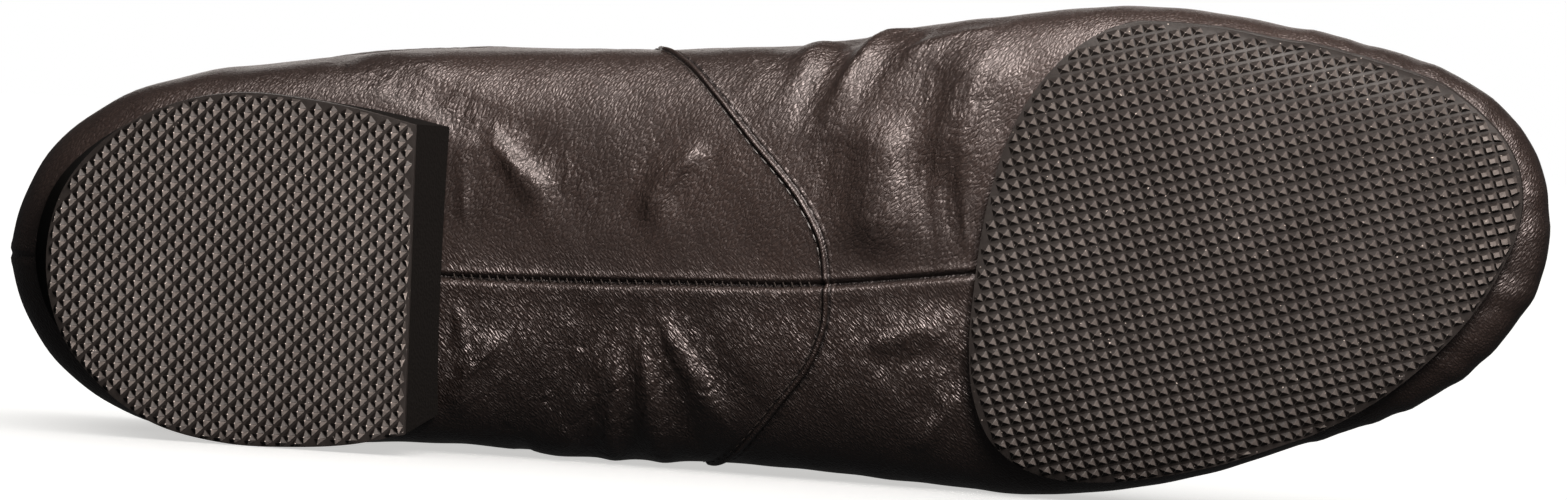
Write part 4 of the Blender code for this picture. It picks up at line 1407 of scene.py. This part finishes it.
def build_floor(looks):
    """A round sheet of paper: rings about the origin at even steps."""
    radius = np.linspace(0, FLOOR_RADIUS, 14)[1:, None]
    turn = np.linspace(0, 2 * pi, 73)[:-1]
    rings = np.stack([radius * np.cos(turn), radius * np.sin(turn), radius * turn * 0], -1)
    faces = grid_faces(*rings.shape[:2], flip=True, close=True).tolist()
    faces.append(tuple(range(len(turn))))
    mesh = bpy.data.meshes.new("paper")
    mesh.from_pydata(rings.reshape(-1, 3).tolist(), [], faces)
    mesh.materials.append(seamless(tuple(looks.floor_colour)))
    floor = put("paper", mesh)
    # The paper throws no light back on the shoe, whose lower half is dark in the photo
    floor.visible_diffuse = False
    floor.visible_glossy = False


# Lamps: place and size in metres, power in watts
Lamp = namedtuple("Lamp", "name x y z wide high power")
LAMPS = (
    Lamp("top_softbox", 0.06, -0.24, 0.38, 0.32, 0.20, 2.6),
    Lamp("vamp_softbox", 0.16, -0.34, 0.30, 0.15, 0.20, 5.0),
    Lamp("front_key", 0.75, -1.20, 0.85, 0.2, 0.2, 11.0),
    Lamp("back_softbox", -0.2, 1.5, 0.3, 0.9, 0.9, 5.0),
)
WASH = Lamp("paper_wash", 0.0, 0.0, 2.6, 8.0, 8.0, 150.0)
LAMP_GOAL = Vector((0.0, -0.02, 0.04))
WARM_WHITE = (1.0, 0.93, 0.88)
# How bright the world is as light on things, and as the camera sees it behind them
WORLD_LIGHT = 0.06
WORLD_SEEN = 1.0


def hang(lamp, goal, colour):
    """A soft rectangular lamp turned to its goal."""
    light = bpy.data.lights.new(lamp.name, "AREA")
    light.shape = "RECTANGLE"
    light.size = lamp.wide
    light.size_y = lamp.high
    light.energy = lamp.power
    light.color = colour
    item = put(lamp.name, light)
    place = Vector((lamp.x, lamp.y, lamp.z))
    aim = (goal - place).to_track_quat("-Z", "Y").to_matrix().to_4x4()
    item.matrix_world = Matrix.Translation(place) @ aim
    return item


def build_lamps():
    """Soft lamps that light the shoe alone, one that lights the paper, and a faint even world."""
    shoe = bpy.data.collections.new("lit shoe")
    for item in bpy.context.scene.objects:
        if item.type == "MESH" and item.name != "paper":
            shoe.objects.link(item)
    for lamp in LAMPS:
        item = hang(lamp, LAMP_GOAL, WARM_WHITE)
        item.light_linking.receiver_collection = shoe
    paper = bpy.data.collections.new("lit paper")
    paper.objects.link(bpy.data.objects["paper"])
    hang(WASH, Vector((0.0, 0.0, 0.0)), (1, 1, 1)).light_linking.receiver_collection = paper
    world = bpy.data.worlds.new("studio")
    world.use_nodes = True
    tree = world.node_tree
    seen = add(tree, "LightPath").outputs["Is Camera Ray"]
    strength = ramp(tree, seen, 0.0, 1.0, WORLD_LIGHT, WORLD_SEEN)
    give(tree, tree.nodes["Background"], Color=(1, 1, 1, 1), Strength=strength)
    bpy.context.scene.world = world
    bpy.context.scene.view_settings.view_transform = "Standard"


# Settings, operators and panel


def dye(name, description, hexed):
    """A colour setting that starts at an sRGB hex."""
    return FloatVectorProperty(
        name=name, description=description, subtype="COLOR", size=3, default=linear(hexed)
    )


class ShoeLooks(PropertyGroup):
    """Colours, gloss and relief of the shoe"""

    leather_colour: dye("Leather", "Dye of the leather", "#1e1613")
    rubber_colour: dye("Rubber", "Colour of the treads", "#0e0b0a")
    # Paler colour of the treads' facets: dust with painted highlight
    dust_and_highlight_colour: dye("Dust", "Colour of the treads' buffed facets", "#c6bab4")
    foam_colour: dye("Foam", "Colour of the heel lift", "#0a0807")
    lining_colour: dye("Lining", "Colour of the lining", "#2c2725")
    insole_colour: dye("Insole", "Colour of the sock", "#34302d")
    thread_colour: dye("Thread", "Colour of the stitches", "#2b2522")
    floor_colour: dye("Floor", "Colour of the paper", "#f4f3f1")
    leather_roughness: FloatProperty(
        name="Leather roughness", description="Lower is glossier", default=0.38, min=0.1, max=0.9
    )
    grain_pitch: FloatProperty(
        name="Grain pitch", description="Size of a pebble of the grain", default=0.00062, unit="LENGTH"
    )
    fold_depth: FloatProperty(
        name="Fold depth", description="Scales the depth of the folds", default=1.0, min=0, max=2
    )
    tread_depth: FloatProperty(
        name="Tread depth", description="Height of the waffle's studs", default=TREAD_DEPTH, unit="LENGTH"
    )


class ShoeOperator:
    """What the operators share: each builds its pieces with the scene's settings"""

    bl_options = {"REGISTER", "UNDO"}

    def execute(self, context):
        self.build(context.scene.shoe_looks)
        return {"FINISHED"}


class SHOE_OT_upper(ShoeOperator, Operator):
    """Build the leather upper with its lining"""

    bl_idname = "shoe.upper"
    bl_label = "Upper"

    def build(self, looks):
        upper = build_upper(looks)
        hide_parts("upper")


class SHOE_OT_arch_seam(ShoeOperator, Operator):
    """Build the rolled seam across the arch"""

    bl_idname = "shoe.arch_seam"
    bl_label = "Arch seam"

    def build(self, looks):
        seam = build_arch_seam(looks)
        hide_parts("arch_seam")


class SHOE_OT_binding(ShoeOperator, Operator):
    """Build the band over the collar's rim"""

    bl_idname = "shoe.binding"
    bl_label = "Collar binding"

    def build(self, looks):
        band = build_binding(looks)
        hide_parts("collar_binding")


class SHOE_OT_insole(ShoeOperator, Operator):
    """Build the sock inside"""

    bl_idname = "shoe.insole"
    bl_label = "Insole"

    def build(self, looks):
        sock = build_insole(looks)
        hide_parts("insole")


class SHOE_OT_heel(ShoeOperator, Operator):
    """Build the heel's foam lift and its rubber tread"""

    bl_idname = "shoe.heel"
    bl_label = "Heel"

    def build(self, looks):
        block, pad = build_heel(looks)
        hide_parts("heel_block")
        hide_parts("heel_pad")


class SHOE_OT_forefoot(ShoeOperator, Operator):
    """Build the forefoot's rubber sole with its waffle"""

    bl_idname = "shoe.forefoot"
    bl_label = "Forefoot sole"

    def build(self, looks):
        sole = build_forefoot(looks)
        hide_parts("forefoot_sole")


class SHOE_OT_stitches(ShoeOperator, Operator):
    """Build the rows of stitches"""

    bl_idname = "shoe.stitches"
    bl_label = "Stitches"

    def build(self, looks):
        build_stitches(looks)


class SHOE_OT_stage(ShoeOperator, Operator):
    """Build the paper floor, the lamps and the camera"""

    bl_idname = "shoe.stage"
    bl_label = "Studio"

    def build(self, looks):
        build_floor(looks)
        build_lamps()
        build_camera()


OPERATORS = (
    SHOE_OT_upper,
    SHOE_OT_arch_seam,
    SHOE_OT_binding,
    SHOE_OT_insole,
    SHOE_OT_heel,
    SHOE_OT_forefoot,
    SHOE_OT_stitches,
    SHOE_OT_stage,
)


class SHOE_PT_panel(Panel):
    """Lists the settings and the operators"""

    bl_idname = "SHOE_PT_panel"
    bl_label = "Jazz shoe"
    bl_space_type = "VIEW_3D"
    bl_region_type = "UI"
    bl_category = "Shoe"

    def draw(self, context):
        looks = context.scene.shoe_looks
        for name in looks.__annotations__:
            self.layout.prop(looks, name)
        for operator in OPERATORS:
            self.layout.operator(operator.bl_idname)


CLASSES = (ShoeLooks, *OPERATORS, SHOE_PT_panel)


def register():
    """Adds the settings, the operators and the panel."""
    for one in CLASSES:
        bpy.utils.register_class(one)
    bpy.types.Scene.shoe_looks = PointerProperty(type=ShoeLooks)


def unregister():
    """Takes them away again."""
    del bpy.types.Scene.shoe_looks
    for one in reversed(CLASSES):
        bpy.utils.unregister_class(one)


def main():
    """Builds the shoe and its studio."""
    register()
    bpy.ops.shoe.upper()
    bpy.ops.shoe.arch_seam()
    bpy.ops.shoe.binding()
    bpy.ops.shoe.insole()
    bpy.ops.shoe.heel()
    bpy.ops.shoe.forefoot()
    bpy.ops.shoe.stitches()
    bpy.ops.shoe.stage()


if __name__ == "__main__":
    main()
